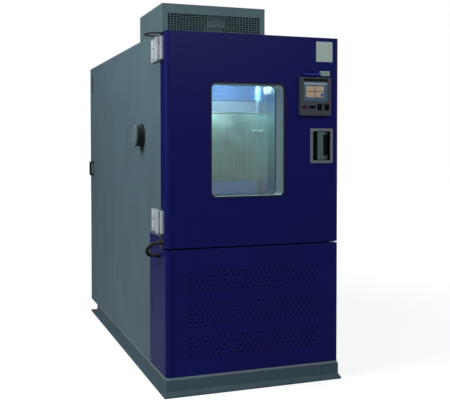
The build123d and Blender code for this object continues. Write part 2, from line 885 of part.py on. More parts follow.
with BuildPart() as hinge_body_leaves:
    for z in hinge_levels:
        plate(across(leaf_x), (frame_y, frame_y + body_leaf_l, z, z + hinge_h), leaf_t, r=3)
        for z0 in (z, z + 2 * segment):
            barrel(z0, z0 + segment - seat)
            web(frame_y + 1, z0, z0 + segment - seat)
        plate(across(leaf_x - screw_cap_t), (frame_y + 0.55 * body_leaf_l, frame_y + 0.55 * body_leaf_l + screw_cap_l,
              z + hinge_h / 4 - screw_cap_w / 2, z + hinge_h / 4 + screw_cap_w / 2), screw_cap_t, r=5)
        plate(across(leaf_x - screw_cap_t), (frame_y + 0.55 * body_leaf_l, frame_y + 0.55 * body_leaf_l + screw_cap_l,
              z + 0.75 * hinge_h - screw_cap_w / 2, z + 0.75 * hinge_h + screw_cap_w / 2), screw_cap_t, r=5)
        with BuildSketch(Plane.XY.offset(z)):
            with Locations((hinge_x, hinge_y)):
                Circle(pin_r)
        extrude(amount=hinge_h - seat)
save(hinge_body_leaves, "hinge_body_leaves")

with BuildPart() as hinge_door_leaves:
    for z in hinge_levels:
        plate(across(leaf_x), (front_y + door_leaf_front, front_y + door_leaf_back, z, z + hinge_h), leaf_t, r=3)
        z0 = z + segment
        barrel(z0, z0 + segment - seat)
        web(front_y + door_leaf_back - 1, z0, z0 + segment - seat)
save(hinge_door_leaves, "hinge_door_leaves")

# Door shell: front and edges bent from one sheet, with openings for the window and the pocket
with BuildPart() as door_shell:
    with BuildSketch(Plane.XY.offset(door_low)):
        bent_front(0.0, front_y + door_t)
    extrude(amount=door_h)
    with BuildSketch(Plane.XY.offset(door_low + sheet)):
        bent_front(sheet, front_y + door_t)
    extrude(amount=door_h - 2 * sheet, mode=Mode.SUBTRACT)
    with BuildSketch(facing(front_y + sheet)):
        window_area(window_lip + tunnel_t)
        with Locations((pocket_x, pocket_z)):
            Rectangle(pocket_w + 2 * pocket_wall, pocket_h + 2 * pocket_wall)
    extrude(amount=sheet, mode=Mode.SUBTRACT)
save(door_shell, "door_shell")

# Door liner: the inner skin, with a raised plug that enters the mouth of the test space
plug_x = liner_x - plug_gap
plug_low = liner_z + plug_gap
plug_high = liner_top - plug_gap
with BuildPart() as door_liner:
    plate(facing(front_y + door_t), (-inner_x, inner_x, door_low + sheet, door_top - sheet), sheet)
    with BuildSketch(facing(front_y + plug_face)):
        area(-plug_x, plug_x, plug_low, plug_high, r=corner_r)
    extrude(amount=plug_t + sheet)
    with BuildSketch(facing(front_y + plug_face - sheet)):
        area(-plug_x + sheet, plug_x - sheet, plug_low + sheet, plug_high - sheet, r=corner_r - sheet)
    extrude(amount=plug_t, mode=Mode.SUBTRACT)
    with BuildSketch(facing(front_y + plug_face)):
        window_area(window_lip + tunnel_t)
    extrude(amount=sheet, mode=Mode.SUBTRACT)
    with BuildSketch(facing(front_y + door_t)):
        with Locations((latch_x, latch_z)):
            Rectangle(slot_w, case_h - 2 * case_t)
    extrude(amount=sheet, mode=Mode.SUBTRACT)
save(door_liner, "door_liner")

# Door insulation: fills the shell and the plug round the window, the pocket and the latch case
pocket_back = front_y + pocket_depth
with BuildPart() as door_foam:
    with BuildSketch(Plane.XY.offset(door_low + sheet)):
        bent_front(sheet, front_y + door_t - sheet)
    extrude(amount=door_h - 2 * sheet)
    with BuildSketch(facing(front_y + plug_face - sheet)):
        area(-plug_x + sheet, plug_x - sheet, plug_low + sheet, plug_high - sheet, r=corner_r - sheet)
    extrude(amount=plug_t)
    with BuildSketch(facing(front_y + plug_face)):
        window_area(window_lip + tunnel_t)
    extrude(amount=plug_face, mode=Mode.SUBTRACT)
    with BuildSketch(facing(pocket_back)):
        with Locations((pocket_x, pocket_z)):
            Rectangle(pocket_w + 2 * pocket_wall, pocket_h + 2 * pocket_wall)
    extrude(amount=pocket_depth, mode=Mode.SUBTRACT)
    with BuildSketch(facing(front_y + door_t - sheet)):
        area(case_x0, case_x1, latch_z - case_h / 2, latch_z + case_h / 2)
    extrude(amount=door_t - sheet - pocket_depth - case_gap, mode=Mode.SUBTRACT)
save(door_foam, "door_foam")

with BuildPart() as window_tunnel:
    with BuildSketch(facing(front_y + plug_face)):
        window_area(window_lip + tunnel_t)
        window_area(window_lip, mode=Mode.SUBTRACT)
    extrude(amount=plug_face)
save(window_tunnel, "window_tunnel")

with BuildPart() as window_panes:
    with BuildSketch(facing(front_y + window_lip + pane_t)):
        window_area(window_lip - pane_gap)
    extrude(amount=pane_t)
    with BuildSketch(facing(front_y + plug_face - window_lip)):
        window_area(window_lip - pane_gap)
    extrude(amount=pane_t)
save(window_panes, "window_panes")

# Window gasket: a bead round each face, with a leg that holds the pane in the tunnel
with BuildPart() as window_gasket:
    with BuildSketch(facing(front_y)):
        window_area(gasket_face)
        window_area(0.0, mode=Mode.SUBTRACT)
    extrude(amount=gasket_proud)
    with BuildSketch(facing(front_y + window_lip)):
        window_area(window_lip)
        window_area(0.0, mode=Mode.SUBTRACT)
    extrude(amount=window_lip)
    with BuildSketch(facing(front_y + plug_face)):
        window_area(window_lip)
        window_area(0.0, mode=Mode.SUBTRACT)
    extrude(amount=window_lip)
    with BuildSketch(facing(front_y + plug_face + gasket_proud)):
        window_area(gasket_face)
        window_area(0.0, mode=Mode.SUBTRACT)
    extrude(amount=gasket_proud)
save(window_gasket, "window_gasket")

# Door gasket: a soft frame on the door that meets the front frame all round the mouth
seal_x = liner_x + gasket_inset
with BuildPart() as door_gasket:
    with BuildSketch(facing(frame_y - seat)):
        area(-seal_x - gasket_w, seal_x + gasket_w, liner_z - gasket_inset - gasket_w,
             liner_top + gasket_inset + gasket_w, r=corner_r)
        area(-seal_x, seal_x, liner_z - gasket_inset, liner_top + gasket_inset, mode=Mode.SUBTRACT)
    extrude(amount=door_gap - seat)
save(door_gasket, "door_gasket")

# Flush pocket: a framed dish in the door, with the lever's pin and the latch's channel behind it
pocket_low = pocket_z - pocket_h / 2
pocket_high = pocket_z + pocket_h / 2
pivot_x = pocket_x + pocket_w / 2 - pivot_side
pivot_y = front_y + pivot_back
with BuildPart() as handle_pocket:
    with BuildSketch(facing(front_y)):
        with Locations((pocket_x, pocket_z)):
            RectangleRounded(pocket_frame_w, pocket_frame_h, 4)
    extrude(amount=pocket_rim)
    with BuildSketch(facing(pocket_back)):
        with Locations((pocket_x, pocket_z)):
            Rectangle(pocket_w + 2 * pocket_wall, pocket_h + 2 * pocket_wall)
    extrude(amount=pocket_depth)
    with BuildSketch(facing(pocket_back - pocket_wall)):
        with Locations((pocket_x, pocket_z)):
            Rectangle(pocket_w, pocket_h)
    extrude(amount=pocket_depth - pocket_wall + pocket_rim, mode=Mode.SUBTRACT)
    with BuildSketch(Plane.XY.offset(pocket_low)):
        with Locations((pivot_x, pivot_y)):
            Circle(pivot_r)
    extrude(amount=pocket_h)
    with BuildSketch(across(case_x0)):
        area(pocket_back + case_gap, front_y + door_t - sheet, latch_z - case_h / 2, latch_z + case_h / 2)
        area(pocket_back + case_gap + case_t, front_y + door_t - sheet, latch_z - case_h / 2 + case_t,
             latch_z + case_h / 2 - case_t, mode=Mode.SUBTRACT)
    extrude(amount=case_w)
save(handle_pocket, "handle_pocket")

# Lever: a pull bar on two arms that turn on the pocket's pin
bar_x0 = pocket_x - pocket_w / 2 + lever_bar_x
bar_y0 = front_y + lever_back


def lever_arm(z0, z1):
    with BuildSketch(Plane.XY.offset(z0)) as arm:
        area(bar_x0, bar_x0 + lever_bar_w, bar_y0, bar_y0 + lever_bar_t)
        with Locations((pivot_x, pivot_y)):
            Circle(lever_boss_r)
        make_hull()
        with Locations((pivot_x, pivot_y)):
            Circle(pivot_r + run_fit, mode=Mode.SUBTRACT)
    extrude(arm.sketch, amount=z1 - z0)


lever_low = pocket_low + lever_gap
lever_high = pocket_high - lever_gap
with BuildPart() as handle_lever:
    with BuildSketch(Plane.XY.offset(lever_low)):
        area(bar_x0, bar_x0 + lever_bar_w, bar_y0, bar_y0 + lever_bar_t, r=lever_bar_t / 4)
    extrude(amount=lever_high - lever_low)
    lever_arm(lever_low, lever_low + low_arm_h)
    lever_arm(lever_high - top_arm_h, lever_high)
save(handle_lever, "handle_lever")

# Latch bolt: a slide in its channel, with a hooked nose that reaches into the front frame
bolt_y = pocket_back + case_gap + case_t + seat
bolt_half = case_h / 2 - case_t - seat
with BuildPart() as latch_bolt:
    plate(Plane.XY.offset(latch_z - bolt_half),
          (latch_x - bolt_l / 2, latch_x + bolt_l / 2, bolt_y, bolt_y + bolt_t), 2 * bolt_half)
    plate(Plane.XY.offset(latch_z - bolt_half),
          (latch_x - nose_w / 2, latch_x + nose_w / 2, bolt_y, front_y + bolt_reach), 2 * bolt_half)
    plate(Plane.XY.offset(latch_z - bolt_half),
          (latch_x - nose_w / 2, latch_x - nose_w / 2 + hook_w, front_y + bolt_reach - hook_t,
           front_y + bolt_reach), 2 * bolt_half)
save(latch_bolt, "latch_bolt")

with BuildPart() as striker:
    with BuildSketch(facing(frame_y)):
        with Locations((latch_x, latch_z)):
            RectangleRounded(striker_w, striker_h, 4)
            Rectangle(slot_w, slot_h, mode=Mode.SUBTRACT)
    extrude(amount=striker_t)
save(striker, "striker")

# Controller: a raised housing on the door, with a recessed screen and a row of controls
key_z0 = keys_z - rocker_slot
key_z1 = keys_z + rocker_slot
axle_y = panel_face + rocker_depth / 2
with BuildPart() as controller_housing:
    with BuildSketch(facing(front_y)):
        with Locations((panel_x, panel_z)):
            RectangleRounded(panel_w, panel_h, panel_r)
    extrude(amount=panel_t)
    chamfer(controller_housing.faces().sort_by(Axis.Y)[0].edges(), length=3)
    plate(facing(panel_face + screen_recess), (screen_x - screen_w / 2, screen_x + screen_w / 2,
          screen_z - screen_h / 2, screen_z + screen_h / 2), screen_recess, mode=Mode.SUBTRACT)
    for x in rocker_x:
        plate(facing(panel_face + rocker_depth), (x - rocker_w / 2 - rocker_gap, x + rocker_w / 2 + rocker_gap,
              key_z0, key_z1), rocker_depth, mode=Mode.SUBTRACT)
        with BuildSketch(across(x - rocker_w / 2 - axle_l - rocker_gap)):
            with Locations((axle_y, keys_z)):
                Circle(axle_r + run_fit)
        extrude(amount=rocker_w + 2 * axle_l + 2 * rocker_gap, mode=Mode.SUBTRACT)
    plate(facing(panel_face + flap_t + seat), (flap_x - flap_w / 2 - rocker_gap, flap_x + flap_w / 2 + rocker_gap,
          keys_z - flap_h / 2 - rocker_gap, keys_z + flap_h / 2 + rocker_gap), flap_t + seat, mode=Mode.SUBTRACT)
    plate(facing(panel_face + usb_depth), (flap_x - usb_w / 2, flap_x + usb_w / 2,
          keys_z - usb_h / 2, keys_z + usb_h / 2), usb_depth, mode=Mode.SUBTRACT)
    flap_y = panel_face + flap_t / 2
    flap_pin_z = keys_z + flap_h / 2 - flap_t / 2
    with BuildSketch(across(flap_x - flap_w / 2 - axle_l - rocker_gap)):
        with Locations((flap_y, flap_pin_z)):
            Circle(flap_pin_r + run_fit)
    extrude(amount=flap_w + 2 * axle_l + 2 * rocker_gap, mode=Mode.SUBTRACT)
save(controller_housing, "controller_housing")

with BuildPart() as touch_screen:
    plate(facing(panel_face + screen_recess), (screen_x - screen_w / 2, screen_x + screen_w / 2,
          screen_z - screen_h / 2, screen_z + screen_h / 2), screen_t)
save(touch_screen, "touch_screen")

with BuildPart() as indicator_lamp:
    with BuildSketch(facing(panel_face)):
        with Locations((lamp_x, keys_z)):
            RectangleRounded(lamp_w, flap_h, 2)
    extrude(amount=lamp_proud)
save(indicator_lamp, "indicator_lamp")


def rocker(x):
    """Rocker with a hollow V face, tipped to one side on its axle."""
    rise = rocker_half * tan(radians(rocker_tilt))
    with BuildSketch(across(x - rocker_w / 2)) as profile:
        with Locations(Location((axle_y, keys_z), rocker_tilt)):
            Polygon((-rocker_depth / 2 - rise, rocker_half), (-rocker_depth / 2, 0),
                    (-rocker_depth / 2 - rise, -rocker_half), (0, -0.8 * rocker_half),
                    (rocker_depth / 3, 0), (0, 0.8 * rocker_half), align=None)
    extrude(profile.sketch, amount=rocker_w)
    with BuildSketch(across(x - rocker_w / 2 - axle_l)) as axle:
        with Locations((axle_y, keys_z)):
            Circle(axle_r)
    extrude(axle.sketch, amount=rocker_w + 2 * axle_l)


with BuildPart() as power_rocker:
    rocker(rocker_x[0])
save(power_rocker, "power_rocker")

with BuildPart() as light_rocker:
    rocker(rocker_x[1])
save(light_rocker, "light_rocker")

with BuildPart() as usb_flap:
    with BuildSketch(across(flap_x - flap_w / 2)):
        with Locations((flap_y, flap_pin_z)):
            Circle(flap_t / 2)
        area(flap_y - flap_t / 2, flap_y + flap_t / 2, keys_z - flap_h / 2, flap_pin_z)
    extrude(amount=flap_w)
    with BuildSketch(across(flap_x - flap_w / 2 - axle_l)):
        with Locations((flap_y, flap_pin_z)):
            Circle(flap_pin_r)
    extrude(amount=flap_w + 2 * axle_l)
save(usb_flap, "usb_flap")

# Stylus: a round pen in a bored holder above the controller
stylus_y = front_y - stylus_back
holder_x = stylus_x + stylus_l - holder_l + 9
with BuildPart() as stylus_holder:
    with BuildSketch(across(holder_x)):
        area(front_y - holder_w, front_y, holder_low, holder_low + holder_h, r=3)
    extrude(amount=holder_l)
    with BuildSketch(across(holder_x)):
        with Locations((stylus_y, stylus_z)):
            Circle(stylus_r + stylus_fit)
    extrude(amount=stylus_x + stylus_l - holder_x + seat, mode=Mode.SUBTRACT)
save(stylus_holder, "stylus_holder")

with BuildPart() as stylus:
    with BuildSketch(across(stylus_x)):
        with Locations((stylus_y, stylus_z)):
            Circle(stylus_r)
    extrude(amount=stylus_l)
    chamfer(stylus.faces().sort_by(Axis.X)[0].edges(), length=2)
save(stylus, "stylus")

# Condenser: a finned block behind the perforated front, with a ringed shroud round its fan
condenser_y = front_y + condenser_back
shroud_y = condenser_y + condenser_l
condenser_mid = condenser_z + condenser_h / 2
with BuildPart() as condenser:
    with BuildSketch(Plane.XY.offset(condenser_z)):
        area(-condenser_w / 2, condenser_w / 2, shroud_y - condenser_l / 3, shroud_y)
        with Locations((0, condenser_y + condenser_l / 2)):
            with GridLocations(condenser_w / condenser_fins, 1, condenser_fins, 1):
                Rectangle(fin_t, condenser_l)
    extrude(amount=condenser_h)
    for x in (-condenser_w / 2, condenser_w / 2 - fin_t):
        plate(across(x), (condenser_y, shroud_y, deck_z, condenser_z), fin_t)
    with BuildSketch(facing(shroud_y + shroud_t)):
        area(-condenser_w / 2, condenser_w / 2, condenser_z, condenser_z + condenser_h)
        with Locations((0, condenser_mid)):
            Circle(fan_r + fan_gap, mode=Mode.SUBTRACT)
    extrude(amount=shroud_wall)
    with BuildSketch(facing(shroud_y + shroud_t)):
        area(-condenser_w / 2, condenser_w / 2, condenser_z, condenser_z + condenser_h)
        area(-condenser_w / 2 + shroud_wall, condenser_w / 2 - shroud_wall, condenser_z + shroud_wall,
             condenser_z + condenser_h - shroud_wall, mode=Mode.SUBTRACT)
    extrude(amount=shroud_t)
save(condenser, "condenser")

# Condenser fan on its motor's shaft, in the shroud's ring
fan_face = shroud_y + shroud_t
hub_y = fan_face - fan_hub_l / 2
with BuildPart() as condenser_fan:
    with BuildSketch(facing(hub_y + fan_hub_l)):
        with Locations((0, condenser_mid)):
            Circle(fan_hub_r)
    extrude(amount=fan_hub_l)
    for i in range(fan_blades):
        turn = radians(360 / fan_blades * i)
        pitch = radians(fan_pitch)
        blade_normal = (-sin(pitch) * sin(turn), -cos(pitch), sin(pitch) * cos(turn))
        with BuildSketch(Plane((0, hub_y + fan_hub_l / 2, condenser_mid), x_dir=(cos(turn), 0, sin(turn)),
                               z_dir=blade_normal)):
            area(fan_hub_r - fin_t, fan_r - fin_t, -fan_chord / 2, fan_chord / 2)
        extrude(amount=blade_t / 2, both=True)
    with BuildSketch(facing(hub_y + fan_hub_l + drive_l / 2)):
        with Locations((0, condenser_mid)):
            Circle(drive_shaft_r)
    extrude(amount=drive_l / 2)
save(condenser_fan, "condenser_fan")

drive_y = hub_y + fan_hub_l + 2 * fan_gap
with BuildPart() as condenser_motor:
    with BuildSketch(facing(drive_y + drive_l)):
        with Locations((0, condenser_mid)):
            Circle(drive_r)
    extrude(amount=drive_l)
    with BuildSketch(facing(drive_y + drive_l)):
        area(-drive_r / 2, drive_r / 2, deck_z + drive_leg_t, condenser_mid)
        area(-drive_r, drive_r, deck_z, deck_z + drive_leg_t)
    extrude(amount=drive_l)
    with BuildSketch(facing(drive_y + drive_l)):
        with Locations((0, condenser_mid)):
            Circle(drive_shaft_r + run_fit)
    extrude(amount=drive_l, mode=Mode.SUBTRACT)
save(condenser_motor, "condenser_motor")

# Compressors: two domed pots on their feet
with BuildPart() as compressors:
    for x in compressor_x:
        y = frame_y + compressor_back
        plate(Plane.XY.offset(deck_z), (x - compressor_foot / 2, x + compressor_foot / 2,
              y - compressor_foot / 2, y + compressor_foot / 2), compressor_foot_t, r=20)
        with BuildSketch(Plane.XY.offset(deck_z + compressor_foot_t)):
            with Locations((x, y)):
                Circle(compressor_r)
        extrude(amount=compressor_h)
    fillet(compressors.faces().group_by(Axis.Z)[-1].edges(), radius=compressor_r / 3)
save(compressors, "compressors")

# Electrical board on the bulkhead, with rows of switchgear
board_low = board_z
with BuildPart() as electrical_panel:
    plate(facing(bulkhead_y + board_t), (-board_w / 2, board_w / 2, board_low, board_low + board_h), board_t)
    for i in range(board_rows):
        z = board_low + board_h / board_rows * (i + 0.5)
        plate(facing(bulkhead_y + board_t + 2 * board_unit), (-board_w / 2 + board_unit, board_w / 2 - board_unit,
              z - board_unit, z + board_unit), 2 * board_unit)
save(electrical_panel, "electrical_panel")


def loop_radii(points):
    """Radius for each corner of a cable's route: 0.45 of the shorter run over tan of half the turn."""
    radii = []
    for before, here, after in zip(points, points[1:], points[2:]):
        run_in = Vector(*here) - Vector(*before)
        run_out = Vector(*after) - Vector(*here)
        turn = radians(run_in.get_angle(run_out))
        radii.append(0.45 * min(run_in.length, run_out.length) / tan(turn / 2))
    return radii


def loop_route(points):
    """The route with its distances behind the door's front turned into places."""
    return [(x, front_y + y, z) for x, y, z in points]


cable_route = loop_route(cable_points)
cable_radii = loop_radii(cable_route)
with BuildPart() as door_cable:
    with BuildLine():
        FilletPolyline(*cable_route, radius=cable_radii)
    with BuildSketch(Plane(cable_route[0], z_dir=(-1, 0, 0))):
        Circle(cable_r)
    sweep()
save(door_cable, "door_cable")

conduit_route = loop_route(conduit_points)
conduit_radii = loop_radii(conduit_route)
with BuildPart() as door_conduit:
    with BuildLine():
        FilletPolyline(*conduit_route, radius=conduit_radii)
    with BuildSketch(Plane(conduit_route[0], z_dir=(-1, 0, 0))):
        Circle(conduit_r)
    sweep()
save(door_conduit, "door_conduit")


def gland(end, length, radius):
    """Cable gland between the side and a loop's end."""
    with BuildSketch(Plane((-side_x, end[1], end[2]), x_dir=(0, 1, 0), z_dir=(-1, 0, 0))) as face:
        Circle(radius)
    extrude(face.sketch, amount=length)


with BuildPart() as door_glands:
    gland(cable_route[0], cable_gland_l, cable_gland_r)
    gland(conduit_route[0], conduit_gland_l, conduit_gland_r)
save(door_glands, "door_glands")

with BuildPart() as body_glands:
    gland(cable_route[-1], cable_gland_l, cable_gland_r)
    gland(conduit_route[-1], conduit_gland_l, conduit_gland_r)
save(body_glands, "body_glands")

print("cable radii", [round(r, 1) for r in cable_radii])
print("conduit radii", [round(r, 1) for r in conduit_radii])
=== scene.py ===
# Environmental test chamber: camera, light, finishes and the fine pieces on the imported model.
# Everything is in metres. X runs across the front, Y runs back, Z is up.
import bmesh
import bpy
from math import cos, pi, radians, sin
from mathutils import Matrix, Vector


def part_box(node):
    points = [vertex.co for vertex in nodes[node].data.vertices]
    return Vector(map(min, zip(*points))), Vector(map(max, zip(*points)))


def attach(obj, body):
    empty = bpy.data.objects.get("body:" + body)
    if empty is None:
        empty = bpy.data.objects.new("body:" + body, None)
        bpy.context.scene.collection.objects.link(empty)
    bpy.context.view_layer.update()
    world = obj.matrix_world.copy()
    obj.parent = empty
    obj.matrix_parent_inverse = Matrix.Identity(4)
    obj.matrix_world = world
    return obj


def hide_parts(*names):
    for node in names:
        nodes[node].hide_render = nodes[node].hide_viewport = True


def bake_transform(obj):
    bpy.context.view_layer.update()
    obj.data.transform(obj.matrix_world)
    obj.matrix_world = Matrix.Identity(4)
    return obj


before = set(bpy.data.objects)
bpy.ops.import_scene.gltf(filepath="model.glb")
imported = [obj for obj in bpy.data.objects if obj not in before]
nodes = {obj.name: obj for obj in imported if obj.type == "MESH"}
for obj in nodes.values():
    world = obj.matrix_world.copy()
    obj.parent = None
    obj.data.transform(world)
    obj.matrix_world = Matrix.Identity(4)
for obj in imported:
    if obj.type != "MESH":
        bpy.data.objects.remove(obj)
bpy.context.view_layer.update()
scene = bpy.context.scene
print("frame: loaded", len(nodes), "nodes")

# camera, left of the front and at chest height
view = {
    "place": (-1.4011, -4.4078, 1.2087),
    "turn": 19.44,    # degrees to the right of straight ahead
    "tilt": -1.658,   # a touch downward
    "roll": 0.05,
    "lens": 59.73,
    "sensor": 36.0,
    "shift": (0.01547, -0.08146),
}
cameraData = bpy.data.cameras.new("camera")
cameraData.lens = view["lens"]
cameraData.sensor_width = view["sensor"]
cameraData.shift_x, cameraData.shift_y = view["shift"]
cameraData.clip_end = 60
cameraObject = bpy.data.objects.new("camera", cameraData)
cameraObject.location = view["place"]
cameraObject.rotation_euler = (radians(90 + view["tilt"]), radians(view["roll"]), radians(-view["turn"]))
scene.collection.objects.link(cameraObject)
scene.camera = cameraObject
scene.view_settings.view_transform = "Standard"
print("camera: set")


def linear(hexText):  # sRGB hex to linear
    parts = [int(hexText[i:i + 2], 16) / 255 for i in (0, 2, 4)]
    return tuple(c / 12.92 if c <= 0.04045 else ((c + 0.055) / 1.055) ** 2.4 for c in parts) + (1.0,)


def addNode(tree, kind, values=None, links=None):  # a shader node, its settings and what plugs into it
    node = tree.nodes.new("ShaderNode" + kind)
    for name, value in (values or {}).items():
        if isinstance(name, int) or name in node.inputs:
            node.inputs[name].default_value = value
        else:
            setattr(node, name, value)
    for name, source in (links or {}).items():
        tree.links.new(source, node.inputs[name])
    return node


def startMaterial(name):
    material = bpy.data.materials.new(name)
    material.use_nodes = True
    material.node_tree.nodes.clear()
    return material, material.node_tree


def closeMaterial(tree, shader):
    out = tree.nodes.new("ShaderNodeOutputMaterial")
    tree.links.new(shader, out.inputs["Surface"])


def spacing(mm):  # texture scale for features that far apart
    return 1000.0 / mm


def mixColours(tree, factor, first, second):  # sockets or hex texts
    mix = addNode(tree, "Mix", {"data_type": "RGBA"}, {0: factor})
    for place, colour in ((6, first), (7, second)):
        if isinstance(colour, str):
            mix.inputs[place].default_value = linear(colour)
        else:
            tree.links.new(colour, mix.inputs[place])
    return mix.outputs[2]


def rangeOf(tree, source, low, high, start=0.0, end=1.0):
    return addNode(tree, "MapRange", {"From Min": low, "From Max": high, "To Min": start, "To Max": end},
                   {"Value": source}).outputs["Result"]


# Oven-baked powder coat on sheet steel: soft orange peel, and a slightly lighter line at the folds that is part
# wear and part painted edge highlight
def powderCoat(name, colour, worn, roughness=0.42, specular=0.5, peelMm=9.0, peel=0.04, edge=0.35):
    material, tree = startMaterial(name)
    place = addNode(tree, "TexCoord").outputs["Object"]
    cloud = addNode(tree, "TexNoise", {"Scale": spacing(420), "Detail": 3.0},
                    {"Vector": place}).outputs["Fac"]
    peelNoise = addNode(tree, "TexNoise", {"Scale": spacing(peelMm), "Detail": 2.0},
                        {"Vector": place}).outputs["Fac"]  # real peel is 2 mm, drawn coarser so it shows
    soft = addNode(tree, "Bevel", {"samples": 4, "Radius": 0.004}).outputs["Normal"]
    flat = addNode(tree, "NewGeometry").outputs["Normal"]
    facing = addNode(tree, "VectorMath", {"operation": "DOT_PRODUCT"}, {0: soft, 1: flat}).outputs["Value"]
    rub = addNode(tree, "TexNoise", {"Scale": spacing(35), "Detail": 4.0}, {"Vector": place}).outputs["Fac"]
    atEdge = rangeOf(tree, facing, 0.99, 0.8)
    worked = rangeOf(tree, rub, 0.35, 0.75, 0.0, edge)
    # edges blend toward the lighter colour: part wear, part painted edge highlight
    wearAndHighlightShare = addNode(tree, "Math", {"operation": "MULTIPLY"}, {0: atEdge, 1: worked})
    base = mixColours(tree, rangeOf(tree, cloud, 0.3, 0.7), colour, shade(colour, 0.93))
    body = mixColours(tree, wearAndHighlightShare.outputs[0], base, worn)
    bump = addNode(tree, "Bump", {"Strength": peel, "Distance": 0.002},
                   {"Height": peelNoise, "Normal": soft})
    skin = addNode(tree, "BsdfPrincipled", {"Specular IOR Level": specular},
                   {"Base Color": body, "Normal": bump.outputs["Normal"],
                    "Roughness": rangeOf(tree, cloud, 0.3, 0.7, roughness - 0.04, roughness + 0.05)})
    closeMaterial(tree, skin.outputs[0])
    return material


def shade(hexText, share):  # the same colour, lighter or darker
    parts = [min(255, int(int(hexText[i:i + 2], 16) * share)) for i in (0, 2, 4)]
    return "".join(f"{p:02x}" for p in parts)


# Brushed stainless sheet: long fine scratches one way, that stretch the highlights across them
def brushedSteel(name, colour, roughness=0.28, grain=(1, 1, 0.03), strength=0.12, tint=0.94, metallic=1.0):
    material, tree = startMaterial(name)
    place = addNode(tree, "TexCoord").outputs["Object"]
    stretch = addNode(tree, "VectorMath", {"operation": "MULTIPLY", 1: grain}, {0: place}).outputs["Vector"]
    lines = addNode(tree, "TexNoise", {"Scale": spacing(3), "Detail": 5.0, "Roughness": 0.7},
                    {"Vector": stretch}).outputs["Fac"]  # real grain is under 0.3 mm, drawn coarser
    cloud = addNode(tree, "TexNoise", {"Scale": spacing(240), "Detail": 2.0},
                    {"Vector": place}).outputs["Fac"]
    bump = addNode(tree, "Bump", {"Strength": strength, "Distance": 0.001}, {"Height": lines})
    skin = addNode(tree, "BsdfPrincipled", {"Metallic": metallic},
                   {"Base Color": mixColours(tree, lines, colour, shade(colour, tint)),
                    "Roughness": rangeOf(tree, cloud, 0.3, 0.7, roughness - 0.05, roughness + 0.08),
                    "Normal": bump.outputs["Normal"]})
    closeMaterial(tree, skin.outputs[0])
    return material


# Hot-dip zinc on sheet: grey spangle in large flat crystals, dull and uneven
def zincSheet(name, colour):
    material, tree = startMaterial(name)
    place = addNode(tree, "TexCoord").outputs["Object"]
    spangle = addNode(tree, "TexVoronoi", {"Scale": spacing(18)}, {"Vector": place}).outputs["Color"]
    tone = addNode(tree, "SeparateColor", links={0: spangle}).outputs[0]
    skin = addNode(tree, "BsdfPrincipled", {"Metallic": 1.0},
                   {"Base Color": mixColours(tree, tone, colour, shade(colour, 0.8)),
                    "Roughness": rangeOf(tree, tone, 0, 1, 0.35, 0.55)})
    closeMaterial(tree, skin.outputs[0])
    return material


# Moulded plastic: fine spark-eroded grain, even colour, soft highlight
def mouldedPlastic(name, colour, roughness=0.5, grainMm=2.5, grain=0.08, specular=0.5, tint=0.9):
    material, tree = startMaterial(name)
    place = addNode(tree, "TexCoord").outputs["Object"]
    spark = addNode(tree, "TexNoise", {"Scale": spacing(grainMm), "Detail": 3.0},
                    {"Vector": place}).outputs["Fac"]
    cloud = addNode(tree, "TexNoise", {"Scale": spacing(60)}, {"Vector": place}).outputs["Fac"]
    bump = addNode(tree, "Bump", {"Strength": grain, "Distance": 0.0006}, {"Height": spark})
    skin = addNode(tree, "BsdfPrincipled", {"IOR": 1.53, "Specular IOR Level": specular},
                   {"Base Color": mixColours(tree, cloud, colour, shade(colour, tint)),
                    "Roughness": rangeOf(tree, spark, 0.3, 0.7, roughness - 0.05, roughness + 0.05),
                    "Normal": bump.outputs["Normal"]})
    closeMaterial(tree, skin.outputs[0])
    return material


# Extruded or moulded rubber: matt black with a faint bloom
def blackRubber(name, colour, roughness=0.7):
    material, tree = startMaterial(name)
    place = addNode(tree, "TexCoord").outputs["Object"]
    bloom = addNode(tree, "TexNoise", {"Scale": spacing(25), "Detail": 5.0},
                    {"Vector": place}).outputs["Fac"]
    dusty = rangeOf(tree, bloom, 0.45, 0.8)
    skin = addNode(tree, "BsdfPrincipled", {"IOR": 1.52, "Specular IOR Level": 0.35},
                   {"Base Color": mixColours(tree, dusty, colour, shade(colour, 1.8)),
                    "Roughness": rangeOf(tree, bloom, 0.3, 0.7, roughness - 0.08, roughness + 0.1)})
    closeMaterial(tree, skin.outputs[0])
    return material


# Die-cast zinc alloy, tumbled and lacquered: satin, faint cloudiness
def dieCast(name, colour, roughness=0.38, metallic=0.85):
    material, tree = startMaterial(name)
    place = addNode(tree, "TexCoord").outputs["Object"]
    cloud = addNode(tree, "TexNoise", {"Scale": spacing(14), "Detail": 4.0},
                    {"Vector": place}).outputs["Fac"]
    soft = addNode(tree, "Bevel", {"samples": 4, "Radius": 0.0015}).outputs["Normal"]
    bump = addNode(tree, "Bump", {"Strength": 0.06, "Distance": 0.0008}, {"Height": cloud, "Normal": soft})
    skin = addNode(tree, "BsdfPrincipled", {"Metallic": metallic},
                   {"Base Color": mixColours(tree, cloud, colour, shade(colour, 0.88)),
                    "Roughness": rangeOf(tree, cloud, 0.3, 0.7, roughness - 0.06, roughness + 0.08),
                    "Normal": bump.outputs["Normal"]})
    closeMaterial(tree, skin.outputs[0])
    return material


# Float glass, heated pane: clear with the green of its iron
def floatGlass(name, colour):
    material, tree = startMaterial(name)
    skin = addNode(tree, "BsdfPrincipled", {"Base Color": linear(colour), "Transmission Weight": 1.0,
                                            "IOR": 1.5, "Roughness": 0.0})
    closeMaterial(tree, skin.outputs[0])
    return material


